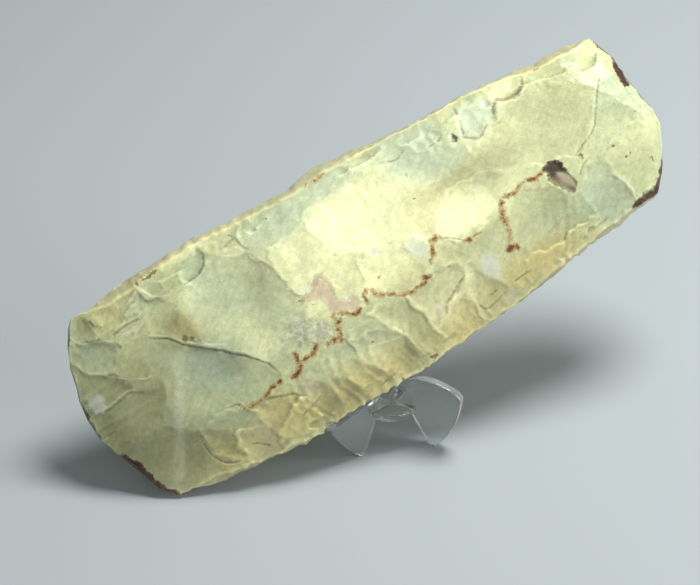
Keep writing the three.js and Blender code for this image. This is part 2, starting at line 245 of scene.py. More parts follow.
# The later scars, each a shallow dished facet over the older ones: how light, how warm in colour, how deep,
# the direction in degrees towards which it deepens, and its outline. How light each is stands partly for its
# own tone and partly for painted light and shade on its slope.
FACETS = [
    # The blade third.
    (-0.10, -0.35, 0.5, 45, [(-86, 20.5), (-80, 16.5), (-75, 11), (-70, 7), (-62, 0), (-56, -5.5),
     (-52, -10), (-50, -14), (-49, -19), (-52.7, -20.8), (-59, -22.5), (-67.7, -23.8), (-69.3, -20.8),
     (-71.8, -19.2), (-77, -18.3), (-86, -20.8), (-92.7, -18.3), (-98, -14), (-90, 0), (-92.7, 8.3),
     (-90, 16.7)]),
    (-0.10, -0.10, 0.5, 90, [(-122.5, 3), (-116.8, 4), (-106.8, 5.2), (-101, 6.5), (-97, 3.5), (-92, 5),
     (-90, 0), (-95, -7), (-98, -14), (-108, -13.5), (-121, -13)]),
    (-0.25, 0.15, 0.6, 180, [(-121, -13), (-108, -13.5), (-98, -14.5), (-92.7, -18.3), (-87.7, -21.7),
     (-88.5, -26), (-88, -33), (-81, -39.5), (-78, -42.5), (-93, -42.5), (-107, -41), (-112, -36),
     (-115.2, -25)]),
    (-0.14, -0.30, 0.5, -20, [(-58, 31), (-47, 33.5), (-42, 30.5), (-36, 29), (-34, 25), (-31, 20),
     (-29.5, 12), (-28, 5), (-28, 2), (-30, -5), (-33, -14), (-45, -19), (-49, -19), (-52, -10),
     (-56, -5.5), (-62, 0), (-70, 7), (-75, 11), (-72, 20), (-66, 27)]),
    (-0.10, -0.10, 0.5, 120, [(-103.7, 29.5), (-98.5, 31), (-88.5, 31), (-81, 30), (-73, 28.5),
     (-70.5, 23), (-75, 17), (-85, 20.5), (-90, 19), (-98.5, 19), (-99, 23)]),
    (-0.40, 0.10, 1.1, -80, [(-122.7, 13.3), (-121, 19.2), (-117.3, 25), (-115.2, 20.8), (-110.2, 18.3),
     (-105.2, 14.2), (-101.8, 10), (-101, 6.7), (-106.8, 5.4), (-116.8, 4.2), (-122.3, 3.3),
     (-123.5, 8.3)]),
    (-0.15, -0.40, 1.0, 170, [(-117.7, 30), (-112.3, 36.3), (-110.6, 32.9), (-107.3, 30),
     (-103.7, 29.2), (-101, 26.3), (-98.9, 23.3), (-98.5, 20.8), (-101, 19.2), (-105.2, 14.5),
     (-110.2, 18.3), (-115.2, 20.8), (-117.3, 25)]),
    (-0.90, -0.20, 1.1, 150, [(-112.3, 39.2), (-108.9, 42.5), (-104.8, 42.1), (-104.3, 37.5),
     (-103.5, 33.3), (-103.7, 30), (-107.3, 30), (-110.6, 32.9), (-112.3, 36.3)]),
    (0.00, 0.35, 0.9, -90, [(-104, 41), (-88.5, 41), (-80, 39.5), (-81, 37.5), (-86, 34.6), (-89.5, 32),
     (-98.5, 31.3), (-101.8, 33.3), (-104, 37.5)]),
    (-0.25, -0.30, 0.8, -60, [(-89.5, 32), (-86, 34.5), (-80.5, 38.5), (-78.5, 34.5), (-74.5, 32),
     (-73, 28.5), (-81, 30)]),
    (0.30, -0.10, 0.4, -90, [(-72, 41), (-63.5, 41.5), (-62.7, 31), (-67.7, 30), (-71.8, 33.5)]),
    (0.10, -0.30, 0.5, -70, [(-78.5, 40), (-72.7, 41), (-71.8, 35), (-74.3, 32.5), (-78, 34.2),
     (-79.3, 37.5)]),
    (0.30, 0.00, 0.4, -90, [(-51.5, 40), (-40, 41.5), (-36, 36), (-46.5, 35), (-49.5, 37.5)]),
    (0.15, -0.35, 0.9, -60, [(-63, 41), (-56.8, 43), (-51.5, 40), (-51.6, 35), (-55, 32), (-61, 29.8),
     (-63, 33.3)]),
    (-0.05, -0.30, 0.5, -50, [(-47, 35), (-40, 35.6), (-36, 30), (-35, 39), (-38, 42), (-45, 41)]),
    (-0.40, 0.40, 0.4, -60, [(-76, 15), (-71, 22.5), (-69.3, 18.3), (-68.5, 8.3), (-71.8, 10),
     (-74.3, 13.3)]),
    # Up from the lower edge, on the blade side.
    (-0.05, -0.40, 0.4, -80, [(-77, -18.3), (-68.5, -22.5), (-62.7, -31.7), (-62, -33.3), (-77, -29.2),
     (-79.3, -27.5), (-86, -21.7)]),
    (-0.25, 0.30, 1.0, 180, [(-88.5, -25), (-87.7, -21.7), (-79.3, -27.5), (-77, -33.3), (-76, -41.7),
     (-80.6, -40), (-87, -32.5)]),
    (0.05, 0.45, 0.9, -90, [(-77, -29.2), (-62, -32.5), (-60.6, -38.3), (-61, -42.5), (-67.7, -44),
     (-76, -42.5)]),
    (0.10, 0.00, 0.3, -60, [(-57.7, -23.3), (-49, -19.2), (-40, -19.2), (-40, -25), (-46.8, -28.8)]),
    (0.15, 0.50, 0.8, -60, [(-67.7, -23.3), (-57.7, -23.3), (-46.8, -29.2), (-53.5, -33.3),
     (-61, -38.3), (-62, -31.7)]),
    (0.10, 0.35, 0.9, -70, [(-61, -38.3), (-53.5, -33.3), (-46, -30.8), (-46, -38.3), (-46.8, -42.5),
     (-55.2, -46.3), (-61, -43.3)]),
    # The middle third above the veins.
    (0.10, -0.45, 0.3, -80, [(-34, 25), (-35, 29.5), (-34, 41), (-17, 42), (-13, 37), (-14.5, 33),
     (-12, 29), (-20, 26), (-30, 22)]),
    (0.16, -0.45, 0.3, -80, [(-17, 42), (12, 43), (14, 36), (4, 31), (-4, 32), (-12, 28), (-14.5, 33),
     (-13, 37)]),
    (0.08, -0.10, 0.3, -10, [(-28.5, 26), (-12.5, 27.5), (-8.5, 16), (-15, 10), (-27.5, 10)]),
    (-0.05, 0.40, 0.4, -100, [(26, 14), (34, 17), (46, 16), (58, 14), (61, 8), (56, 9.5), (50, 8.5),
     (43, 5), (39, -1), (38, -8), (32, -4), (22, -1), (17, 3), (20, 9)]),
    (-0.15, 0.30, 0.3, -60, [(-27, 10), (-15, 10), (-8, 12), (0, 8.5), (5, 4), (2, -4), (-5, -4),
     (-8, -3), (-14, 2), (-18, 8), (-26, 4)]),
    (0.24, -0.10, 0.3, -30, [(-12, 29), (-4, 32), (4, 31), (14, 33), (26, 28), (32, 22), (26, 14),
     (20, 9), (14, 6), (6, 7), (0, 8.5), (-8, 12), (-8.5, 16)]),
    (0.15, -0.45, 0.3, -70, [(14, 36), (26, 35), (36, 32), (46, 27), (60, 20), (58, 14), (46, 16),
     (34, 17), (26, 28)]),
    (0.10, 0.35, 0.5, -100, [(-1, 3.5), (5, 3), (12, 4.5), (17, 3), (19, 0), (17, -8), (20.5, -13.5),
     (9, -16), (1, -12), (-2, -8)]),
    (0.25, 0.30, 0.5, -100, [(31.5, -4), (26.5, -7.5), (25, -11), (29, -14.5), (38.5, -11.5),
     (35, -7.5)]),
    (0.10, -0.50, 0.4, -60, [(28, 39), (38, 41), (39, 33.3), (32.5, 31.3), (27.5, 33.3)]),
    # The middle third below the veins.
    (0.10, -0.40, 0.4, -80, [(-45, -22), (-37, -21), (-25, -19), (-19, -17), (-17.5, -22), (-19, -27),
     (-24, -25.5), (-37, -25)]),
    (-0.10, 0.45, 0.7, -60, [(-28, -28), (-20, -27.5), (-16, -34), (-12, -38), (-13, -43), (-24, -44),
     (-25, -38)]),
    (-0.45, 0.40, 0.8, -60, [(-36, -29), (-28.5, -31.5), (-25, -39), (-25, -44.5), (-33, -44.5),
     (-34, -34)]),
    (-0.65, 0.35, 0.8, -60, [(-43, -28), (-37, -26), (-34, -33), (-33, -41), (-34, -44), (-42, -44.5),
     (-45, -38), (-43.5, -31)]),
    (0.05, 0.20, 0.8, -10, [(-8, -15), (8, -17), (9, -25), (13.5, -41), (5, -44.5), (2.5, -40),
     (0.5, -30), (-2, -28)]),
    (0.05, -0.20, 0.3, -20, [(-18, -17), (-8, -19), (-2, -27.5), (-8, -25), (-16, -21.5)]),
    (-0.35, 0.30, 0.8, -20, [(-19, -20), (-8, -23), (-2, -28.5), (0.5, -30), (2.5, -40), (1.5, -45),
     (-9, -44), (-12, -38), (-17.5, -32), (-20, -26)]),
    (-0.10, 0.35, 0.8, -60, [(8, -17), (28.5, -14.5), (32.5, -21.5), (22, -27.5), (17, -32.5),
     (11.5, -31.5)]),
    (0.15, 0.45, 0.8, -80, [(11.5, -31.5), (17, -32.5), (24, -27.5), (31.5, -33), (31, -40),
     (18, -43.5), (13.5, -40)]),
    (0.00, 0.30, 0.7, -80, [(32.5, -21.5), (38, -19), (40, -30), (45, -33), (43, -40), (32, -41),
     (31, -33)]),
    (0.50, -1.00, 0.1, 0, [(18, -1), (20, 1.8), (23, -0.5), (25, -4), (22.5, -7.5), (20.5, -8.5),
     (18.6, -6)]),
    # The butt third.
    (0.00, -0.10, 0.6, -30, [(59, 21.7), (73.3, 25), (76.7, 29.2), (91.7, 31.7), (106.7, 22.5),
     (112.5, 15.4), (104.2, 3.3), (93.3, -3.3), (88.3, 0), (76.7, 2.5), (65, 3.3), (60.8, 6.7),
     (55, 10)]),
    (0.35, 0.10, 0.8, -100, [(29, -2), (33, 4), (40, 8.4), (50, 10.4), (56, 9.7), (61, 8), (65, 3),
     (57.5, -4), (53, -6.7), (45, -9.5), (39, -10.5), (34, -7)]),
    (0.15, -0.60, 0.5, -60, [(41.7, 39), (48, 39.5), (53.3, 36.7), (53.8, 31), (50, 29), (45, 28.7),
     (40.8, 30.5)]),
    (0.30, -0.70, 0.6, -80, [(61.7, 36.7), (71, 37.5), (75, 30), (73, 26), (69, 25), (63.8, 21.7),
     (58.8, 24.6)]),
    (0.45, 0.05, 0.5, -80, [(75.8, 31.7), (83, 36), (92.5, 35.8), (90, 33.3), (86.7, 30), (81.7, 29.2),
     (77.5, 31.7)]),
    (-0.20, 0.10, 0.5, -90, [(57.5, -5), (76.7, -3.3), (80, -10), (85, -15.8), (87.5, -25), (89, -34),
     (73.3, -37.5), (57, -37.5), (55.8, -23.3), (57.5, -13.3)]),
    (0.15, 0.40, 0.4, -90, [(56, -28), (70, -30), (80, -27), (88, -30), (89, -34.5), (73, -38),
     (57, -38.5)]),
    (0.30, 0.30, 0.3, -90, [(69, -33.5), (73, -30), (77.5, -27.5), (83, -30), (89, -34), (80, -36.5),
     (71.5, -37.5)]),
    (-0.15, -0.15, 0.4, 180, [(91.7, 31.7), (98.3, 33.3), (111.7, 35.8), (121.7, 32.5), (123.3, 23.3),
     (115.8, 19.2), (112.5, 15.4), (106.7, 22.5), (101.7, 27.5)]),
    (-0.05, -0.30, 0.4, 30, [(93.3, -3.3), (104.2, 3.3), (112.5, 15), (115.8, 10.8), (118.3, 3.3),
     (129, -4.2), (111.7, -5), (100, -8.3), (94.2, -7.5)]),
    (0.05, -0.55, 0.5, 0, [(112.5, 15.4), (115.8, 19.2), (121.7, 22.5), (123.3, 10), (127, 10.8),
     (127, 3), (129, -4), (118.3, 3.3), (115.8, 10.8)]),
    (0.10, -0.05, 0.6, -60, [(100, -8.3), (111.7, -5), (129, -5), (127.5, -12.5), (120, -23.3),
     (110.8, -29.2), (105.8, -30), (104.2, -22.5)]),
    (-0.05, -0.50, 0.8, -110, [(86.7, -15), (89.2, -10.8), (94.2, -7.5), (100, -8.3), (103, -20),
     (105, -25), (104.6, -30), (101.7, -32.5), (90, -35), (88, -25)]),
]

# Sharp crests left between scars: height, reach to each side, and the line they follow.
CRESTS = [
    (0.55, 2.2, [(-113, 37), (-112, 33), (-109, 30.3), (-104, 28.5), (-100, 26), (-99, 22)]),
    (0.45, 2.2, [(-104.6, 41), (-104, 36), (-103, 31), (-104, 28.5)]),
    (0.50, 2.2, [(-117.5, 26), (-115.5, 21), (-111, 18), (-106, 13.5), (-102, 10.5)]),
    (0.90, 1.2, [(-98, 28.6), (-92, 29.4), (-86, 29.2), (-82, 30)]),
    (0.80, 1.2, [(-97, 26.5), (-92, 25.2), (-87, 26), (-82, 27.5)]),
    (0.70, 1.2, [(-98, 23.5), (-91, 22.8), (-86, 23.8), (-84, 26)]),
    (0.60, 1.2, [(-98, 8.5), (-95, 6.8), (-92.5, 6.8)]),
    (0.60, 1.6, [(-88, 35.6), (-84, 36.8), (-80.5, 39), (-79, 36), (-77.5, 33.2), (-73, 31.5)]),
    (0.35, 1.6, [(-69, 42), (-68.5, 37), (-66, 33)]),
    (0.50, 1.5, [(-71.5, 12), (-70, 8.5), (-67.5, 6), (-61, 2)]),
    (0.35, 2.0, [(39, -1), (43, 5), (50, 8.5), (56, 9.7), (61, 8), (65, 5)]),
    (0.20, 2.0, [(63, 10), (69, 8), (74, 5), (76, 1)]),
    (0.20, 3.0, [(58, -27), (66, -24), (75, -21), (86, -19)]),
    (0.35, 1.2, [(62, 38), (68, 38.8), (76, 38), (86, 37.2)]),
    (0.25, 2.0, [(-101, -22), (-95, -26), (-90, -25)]),
    (0.35, 1.6, [(-16, -26), (-8, -28), (-2, -29.5), (0, -30)]),
    (0.35, 1.4, [(11, -32), (17, -33), (20, -30), (26, -25)]),
    (0.30, 1.4, [(66, -33), (68, -35.5), (72, -36), (78, -36.5)]),
    (0.25, 1.5, [(112, 10), (118, 5), (123, -2), (127, -11)]),
    (0.25, 2.5, [(20, -14.5), (24, -12), (29, -15), (36, -13), (41, -10.5)]),
    (0.30, 1.5, [(31, -34), (30, -29), (34, -22)]),
    (0.25, 1.6, [(-73, -26), (-66, -28), (-60, -32), (-61, -38)]),
    (0.25, 1.6, [(-88, -42), (-79, -39), (-72, -41)]),
    (0.30, 1.6, [(-50, -44), (-50, -39), (-54, -35)]),
    (0.30, 1.3, [(-26, -43.5), (-22, -40), (-17, -39.5), (-11, -37.5)]),
]

# Step edges: how far the right-hand side drops, how soon it comes back up, and the line.
DROPS = [
    (2.1, 12, [(-86, 20.5), (-80, 16.5), (-75, 11), (-70, 7), (-62, 0), (-56, -5.5), (-52, -10),
     (-50, -14), (-49, -19)]),
    (0.55, 8, [(-47, 33), (-42, 30.5), (-36, 29), (-34, 25), (-31, 20), (-29.5, 12), (-28, 5),
     (-27.5, 2)]),
    (0.45, 7, [(-14, 28), (-12, 25), (-10, 20), (-8.3, 15.5)]),
    (0.40, 6, [(-21, -27), (-20, -30), (-17, -35), (-13, -38), (-11, -37)]),
    (0.45, 6, [(0, -29.5), (1.4, -36), (2.8, -41), (2, -43)]),
    (0.45, 7, [(7.5, -16), (9.3, -21), (10.5, -29), (12.2, -36.5), (14, -41)]),
    (0.30, 4, [(-30, -34), (-27, -37.5), (-25, -40), (-25, -43)]),
    (0.30, 4, [(-38, -34), (-35, -37.5), (-33.5, -42)]),
    (0.70, 6, [(-80, -39.5), (-83, -38.8), (-86, -36.5), (-88.3, -31.5), (-89, -26)]),
    (0.60, 5, [(-61.5, -32), (-61, -38), (-59, -43)]),
    (0.70, 8, [(98, -14), (100, -16), (103, -20), (104.5, -25), (104, -29)]),
    (0.45, 6, [(90, -33), (88.5, -26), (87, -17)]),
    (0.50, 11, [(92, -2.7), (97, -0.7), (103.5, 3), (106, 7), (110, 12), (113, 16), (116, 20)]),
    (0.35, 5, [(112, 15), (109.5, 18), (106.5, 22), (103, 25.5), (98, 28.5)]),
    (0.45, 4, [(88, -11.5), (90, -9.8), (93, -7.5), (97, -6.5)]),
    (0.90, 6, [(-52, 41), (-51.2, 37), (-53.5, 33.2), (-58, 31), (-64, 30.5)]),
    (0.55, 4, [(-39.5, 40), (-38.5, 37.5), (-40.5, 35.5), (-44, 35), (-47, 34.5)]),
    (0.60, 4, [(-31, 42.5), (-31.5, 39), (-35, 35)]), (0.45, 6, [(37, 33.2), (32, 31.2), (28, 32)]),
    (0.55, 7, [(54, 36), (53.4, 32), (51.5, 30), (45, 28.7)]),
    (0.65, 7, [(69, 25), (65, 22.3), (63, 22), (58.5, 25), (60.5, 31), (61.5, 36.5)]),
    (0.60, 6, [(92, 36), (89, 33), (88, 30.5), (84, 29.5), (80, 29.5), (77, 31.5), (74.5, 29),
     (73.5, 26)]),
    (0.60, 5, [(-66, 32), (-70, 31), (-73, 31.3), (-77, 33), (-79, 37)]),
    (0.50, 5, [(-73.5, 30), (-70.5, 26), (-70.7, 23), (-75, 17)]),
    (0.70, 4, [(-103.8, 38), (-103, 35), (-101, 33.5), (-98.5, 33)]),
    (0.80, 7, [(-119, 3.6), (-112, 4.6), (-104, 5.8), (-99, 3.2), (-95, 4.6)]),
    (0.60, 9, [(-112, -13), (-104, -15), (-97, -17), (-88, -21), (-82, -21)]),
    (0.30, 5, [(-95, 3), (-93, 0), (-89, -3), (-92, -9)]),
    (0.75, 11, [(-20, -9), (-15, -11), (-9, -12.5), (-4, -8.5), (0, -11.5), (5, -14), (10, -16.3),
     (15, -16), (20, -14.5), (24, -9), (28.5, -3.5), (33, -5), (39, -10), (45, -9.8), (50, -7.5),
     (56, -4.2)]),
    (0.50, 8, [(-76, -19), (-71, -19.5), (-68, -23), (-60, -23), (-50, -20.5)]),
    (0.35, 6, [(57, -4.5), (55.7, -9), (55, -15), (52, -21)]),
    (0.30, 5, [(60, -3.5), (68, -2), (78, -2)]),
    (0.40, 3, [(-59, -23.5), (-53, -25.5), (-49, -27), (-46.5, -29)]),
    (0.40, 3, [(20, -27), (26, -24), (32, -21)]),
    (0.35, 3, [(31, -33), (33, -37), (38, -36), (43, -34.5)]),
]

# Fine cracks and scratches, and dark lines of painted shadow at the foot of some steps: half their width and
# the line.
CRACKS_AND_STEP_SHADOWS = [
    (0.05, [(-76, 10.8), (-70, 6.2), (-62, -0.8), (-56, -6.2), (-52, -10.8)]),
    (0.03, [(-51, -12), (-49.6, -16), (-49.2, -19)]), (0.03, [(-86, 19.6), (-80, 15.8), (-76, 10.8)]),
    (0.14, [(-72, 11.4), (-70.4, 8)]), (0.16, [(-64, 31), (-58, 31.4), (-54, 33.6), (-52, 37)]),
    (0.12, [(-98, 28), (-92, 28.8), (-86, 28.6)]),
    (0.30, [(-59, -23.5), (-53, -25.5), (-49, -27), (-46.5, -29)]),
    (0.32, [(61.5, 36.5), (60.5, 31), (58.5, 25)]),
    (0.32, [(58.5, 25), (63, 22), (65, 22.3), (69, 25)]), (0.42, [(73.2, 27), (74.5, 29), (77, 31.5)]),
    (0.42, [(77, 31.5), (80, 29.8), (84, 29.5), (88, 30.5), (89.8, 33)]),
    (0.22, [(116, 19), (112, 14), (109, 10), (104, 3), (100, 0.5), (95, -1.5), (92, -3)]),
    (0.18, [(90, -10), (93, -7.5), (97, -6.5)]), (0.22, [(-103.5, 38), (-103, 35), (-100.5, 33.5)]),
    (0.16, [(-50, -36.5), (-45, -35), (-40, -33.5)]), (0.14, [(-72, -36), (-69, -38), (-67, -40)]),
    (0.20, [(20, -27), (26, -24), (32, -21)]), (0.18, [(31, -34), (33, -37), (38, -36), (43, -34.5)]),
    (0.14, [(36, -33), (40, -32.5)]), (0.14, [(-19, -42), (-11, -40.5)]),
    (0.15, [(47, -33), (55, -32.5)]), (0.16, [(45, 28.7), (49, 28.9), (52, 30)]),
    (0.14, [(28, 32), (32, 31), (37, 33)]), (0.18, [(-39.5, 39), (-38.5, 37), (-43, 35.5)]),
    (0.18, [(-89, -26), (-88.5, -31), (-86, -36.5), (-80, -39.5)]),
    (0.12, [(31, -4), (35, -6.5), (39, -10)]), (0.16, [(-70, 10), (-69, 7)]),
    (0.16, [(-73, -19), (-69, -20), (-67, -24)]), (0.18, [(-118, 3.2), (-110, 4.2), (-103, 5.5)]),
]

# Thin light lines where a sharp edge lets light through: half their width and the line.
GLINTS = [
    (0.22, [(-86, 21), (-80, 17.1), (-75, 11.8), (-71, 8.6)]),
    (0.16, [(-71, 8.6), (-62, 0.8), (-56, -4.8), (-51, -11)]),
    (0.20, [(-71.5, 12.4), (-69.8, 8.8), (-67.4, 6.3), (-61, 2.4)]),
    (0.20, [(-64, 30.2), (-58, 30.6), (-53.2, 32.8), (-50.8, 36.8), (-51.6, 40.5)]),
    (0.18, [(-47, 34), (-42, 31.2), (-36, 29.6)]),
    (0.16, [(-34, 25.5), (-30.6, 20), (-29, 12), (-27.5, 5)]),
    (0.16, [(-118, 4.8), (-111, 5.4), (-104, 6.4), (-99, 3.8)]),
    (0.22, [(-113.4, 37), (-112.2, 33), (-109, 30.5), (-104, 28.7), (-100, 26.3), (-99, 22)]),
    (0.16, [(-105, 41), (-104.2, 36), (-103.2, 31)]),
    (0.16, [(-117, 26), (-115, 21), (-111, 18.3), (-106, 13.8), (-102, 10.8)]),
    (0.30, [(-88, 35.6), (-84, 36.9), (-80.5, 39.2), (-78.6, 36), (-77, 33.4)]),
    (0.20, [(-89.6, -26), (-88.9, -31.6), (-86.3, -36.9), (-83, -39.3), (-80, -40)]),
    (0.18, [(-16, -25.8), (-8, -27.8), (-2, -29.2)]), (0.14, [(0.6, -30), (2.2, -36), (3.5, -41)]),
    (0.16, [(8.2, -16), (10, -21), (11.2, -29), (12.9, -36.5), (14.6, -41)]),
    (0.18, [(11, -32), (17, -33), (20, -30), (26, -25)]),
    (0.14, [(101, -16), (103.7, -20), (105.2, -25), (104.7, -29)]),
    (0.16, [(84.4, -16.4), (81.4, -13.6), (80.4, -11.4)]),
    (0.20, [(66, -33), (68, -35.5), (72, -36), (78, -36.5)]), (0.18, [(-93, -25.2), (-88, -24.2)]),
    (0.16, [(-76.5, 33), (-72.5, 31), (-70, 30.2)]), (0.16, [(-98, 8.5), (-95, 6.8), (-92.5, 6.8)]),
    (0.16, [(-97, 27.4), (-92, 26.2), (-87, 27), (-82, 28.5)]), (0.16, [(-82, 25.8), (-80, 27)]),
    (0.12, [(43.5, 6.2), (50, 9.2), (56, 10.3), (61, 8.8)]), (0.14, [(60, 30), (58, 25.6)]),
    (0.14, [(-20, -9.6), (-15, -11.8), (-10, -13.6)]), (0.10, [(1, -13), (8, -17), (15, -16.8)]),
    (0.18, [(-15.4, -4.6), (-12, -7), (-9.4, -7.3)]), (0.14, [(66, 22), (69, 24.6)]),
    (0.14, [(-20, -29), (-16.4, -34.2), (-12.5, -37.4)]),
]

# Iron-stained veins: half their width and the line.
VEINS = [
    (0.30, [(-69, -20), (-67, -24)]), (0.45, [(-66, -23), (-60, -23), (-55, -21), (-52, -20.5)]),
    (1.00, [(-52, -20.8), (-49.8, -20)]), (0.85, [(-46, -21.8), (-43.5, -21.5), (-41.5, -20)]),
    (0.75, [(-41.2, -20), (-40.5, -16), (-40.3, -14)]),
    (0.95, [(-39, -18), (-35, -17.8), (-32, -15.8), (-30, -15)]), (0.90, [(-27, -17.3), (-23.5, -17)]),
    (0.60, [(-22.5, -19.5), (-21, -15), (-20, -12)]), (0.90, [(-20.5, -12.2), (-18.8, -11.3)]),
    (0.35, [(-21, -9), (-18, -8.6), (-15, -11), (-12, -13)]), (0.85, [(-12, -12.8), (-9.5, -12)]),
    (0.40, [(-6, -11.5), (-6, -8), (-4, -7)]), (0.40, [(-2, -7.5), (-1.4, -10), (0, -11.5), (2, -12)]),
    (0.35, [(2, -12), (5, -14), (8, -15.8)]), (0.55, [(8, -16), (11, -16.3), (16, -15.8), (20, -14.6)]),
    (1.00, [(17, -14.8), (19.3, -14.2)]), (0.70, [(23, -10), (25, -7.5), (26, -6)]),
    (0.40, [(26, -6), (27.5, -4.2), (30.8, -3.8)]), (0.40, [(27, -3), (30.3, -2.6)]),
    (0.90, [(39, -10), (41, -10.6)]), (0.20, [(41, -10.3), (45, -9.8)]),
    (0.75, [(56.6, -5.6), (55.9, -9), (55.5, -12.5)]), (0.40, [(57, -5), (59.5, -4)]),
    (0.70, [(61, -3), (62.3, -3.2)]), (0.40, [(62.3, -3.4), (65, -3.6), (67, -2.4), (69.5, -1.4)]),
    (0.55, [(70.5, -1.6), (74, -2.8)]), (0.50, [(74, -2.8), (78, -2), (80, -1)]),
    (0.50, [(55.3, -14), (54.7, -17), (53.5, -19)]), (1.60, [(51.2, -21.6), (53.6, -20.8)]),
    (0.90, [(55, -20.5), (54.6, -22.5)]), (0.45, [(-20, 41), (-16, 40.6)]),
    (0.8, [(-5.5, 41.4), (-1, 41.0), (3, 40.2)]), (0.6, [(93, 36.2), (97, 34.6), (99.5, 34.8)]),
    (0.35, [(-1, 41.9), (5, 41)]), (0.30, [(38, 41), (41, 40.6)]),
]

# Brown and grey specks: place and radius.
SPECKS = [
    (-73.8, 12.6, 1.5), (-71.6, 11.2, 1.2), (-74.6, 12.2, 0.8), (94, -4.2, 1.0), (118, -19, 0.5),
    (6.2, -43, 1.3), (-9, -44.0, 0.8), (20, -41, 0.6), (-12, -25.3, 0.6), (-50.5, 24.4, 0.45),
    (-23, 36.6, 0.6), (-6.5, 17, 0.3), (30, 14.2, 0.2), (32.3, 23.3, 0.35), (2.5, -5, 0.5),
    (2.0, -5.7, 0.4), (28.7, -15.3, 0.5), (48.4, -24, 0.4), (-45.5, -17.8, 0.4), (-25, -1, 0.3),
    (-82.5, 41.0, 1.0), (-80, 41.4, 1.5), (-77, 41.8, 1.1), (-74.5, 41.6, 1.4), (-72, 41.6, 1.1),
    (-57, -21, 0.3), (109, -13, 0.4), (111.6, -12.7, 0.4), (61.2, -9, 0.2), (120.7, 0.3, 0.3),
    (-49.6, 3.5, 0.3), (-48.3, 2.6, 0.2), (-52.6, -12.7, 0.3), (106.5, -7.4, 0.5), (73.6, 21.5, 0.2),
    (73.4, 24.5, 0.3), (5.0, -42.6, 0.7), (-28.3, 2.8, 0.5), (-3, 13, 0.1),
]

# Greyish stains along edges and folds: half their width and the line.
STAINS = [
    (0.7, [(-22, 7), (-20, 5.2), (-18.4, 7.2), (-16.6, 7.2), (-15.2, 4), (-14.9, 1), (-15.6, -2)]),
    (0.5, [(-28, 2.5), (-24, 3), (-21.5, 4)]), (0.6, [(-12, -6.5), (-9.2, -6.8), (-8.6, -9.6)]),
    (0.8, [(98, 28.3), (103, 25.5), (106.5, 22), (109.5, 18), (112, 15)]),
    (0.9, [(-31, -5.5), (-28.5, -6.2), (-28, -7.6), (-30.5, -7)]),
    (0.8, [(-27, -9), (-24.5, -11), (-23, -13)]), (1.2, [(-86.2, -32.5), (-85, -35.5), (-83, -37)]),
    (0.9, [(-91, -3), (-89.6, -4.5), (-91, -8)]), (0.7, [(21, 38.5), (23.5, 37.6)]),
    (0.8, [(-80, 20.5), (-76, 19), (-72, 22)]), (0.5, [(73.4, 22), (72.8, 25), (75, 28.5)]),
    (0.9, [(-32, 40.5), (-32.5, 38.5), (-34.5, 36.5)]), (0.5, [(104, -6.8), (109, -7)]),
    (0.3, [(-8, 11), (-4, 11.5)]), (0.3, [(12, 4.5), (16, 3.8)]),
    (0.35, [(73.5, 28), (76.5, 31.3), (79.5, 29.7), (84, 29.5), (88, 30.5), (89.5, 33.4), (92, 36)]),
    (0.35, [(65, -3), (72, -6.5), (79, -9.5)]), (0.4, [(68, -24), (75, -21)]),
]

# A pale streak down the blade and half its width.
STREAK = [(-79, 8), (-89, -8), (-97, -22), (-104, -33)]
STREAK_HALF = 2.2

# Brown outer rind where it is left: half its width and the line.
RIND = [
    (1.2, [(-121, -14.2), (-118.3, -16.4), (-116.6, -19.5)]),
    (1.6, [(-116.4, -19), (-115.4, -25), (-114, -30)]),
    (1.7, [(-114.4, -29), (-112.5, -34), (-108.5, -38.8)]),
    (0.8, [(-108, -39.8), (-102, -41.2), (-95, -42.6), (-90, -43.4)]),
    (1.0, [(122.4, 33), (123.4, 29.5), (124.3, 27)]), (1.7, [(124.6, 20.5), (124.4, 16), (124, 10.8)]),
    (0.7, [(125.5, 24), (125.6, 20)]), (1.0, [(122.5, -21.5), (120, -24.3), (118.5, -26)]),
    (1.7, [(118.5, -27), (116, -29.6), (113, -31.4)]),
    (1.3, [(113, -31.2), (107, -30.9), (102.5, -32.2)]),
    (0.5, [(65, -39.2), (72, -38), (77, -37), (86, -36.2)]), (0.5, [(-123.2, 9), (-123.4, 4)]),
    (0.6, [(-120, 31), (-117, 33), (-113.6, 37)]),
]

# The dark hollow with a pebble in it, as corners of its outline.
PIT = [
    (77.8, -1.0), (80.0, 0.2), (82.6, 0.6), (85.6, -1.6), (86.2, -7), (87.6, -11.8), (84.6, -15.6),
    (82.2, -13.0), (79.8, -9.2), (78.2, -6.7), (78.8, -4.2),
]
PIT_TOP = [
    (78.4, -1.4), (80.2, -0.2), (82.6, 0.2), (85.2, -1.9), (85.6, -5.6), (83.0, -5.2), (80.2, -6.0),
    (79.3, -4.2),
]
# The pebble's middle, the cosine and sine of its turn, and half its width and length.
PEBBLE = (83.9, -9.4)
PEBBLE_TURN = (0.90, 0.43)
PEBBLE_HALF = (2.1, 4.2)
SMALL_PIT = [
    (53.8, 26), (55.5, 29.2), (56.8, 26.5), (55.8, 24.4),
]
PINK_PATCH = [
    (-28, 3.2), (-24, 2.8), (-21, 4.5), (-20.5, 7), (-18, 7.6), (-16, 6.5), (-14.5, 3), (-14.8, -1),
    (-15.5, -4.5), (-12, -6), (-9, -6.5), (-8.6, -10), (-10, -12.3), (-14, -10.5), (-17, -8.5),
    (-20, -7), (-20.5, -3), (-22, -0.5), (-26, 0.5), (-28.5, 1.5),
]
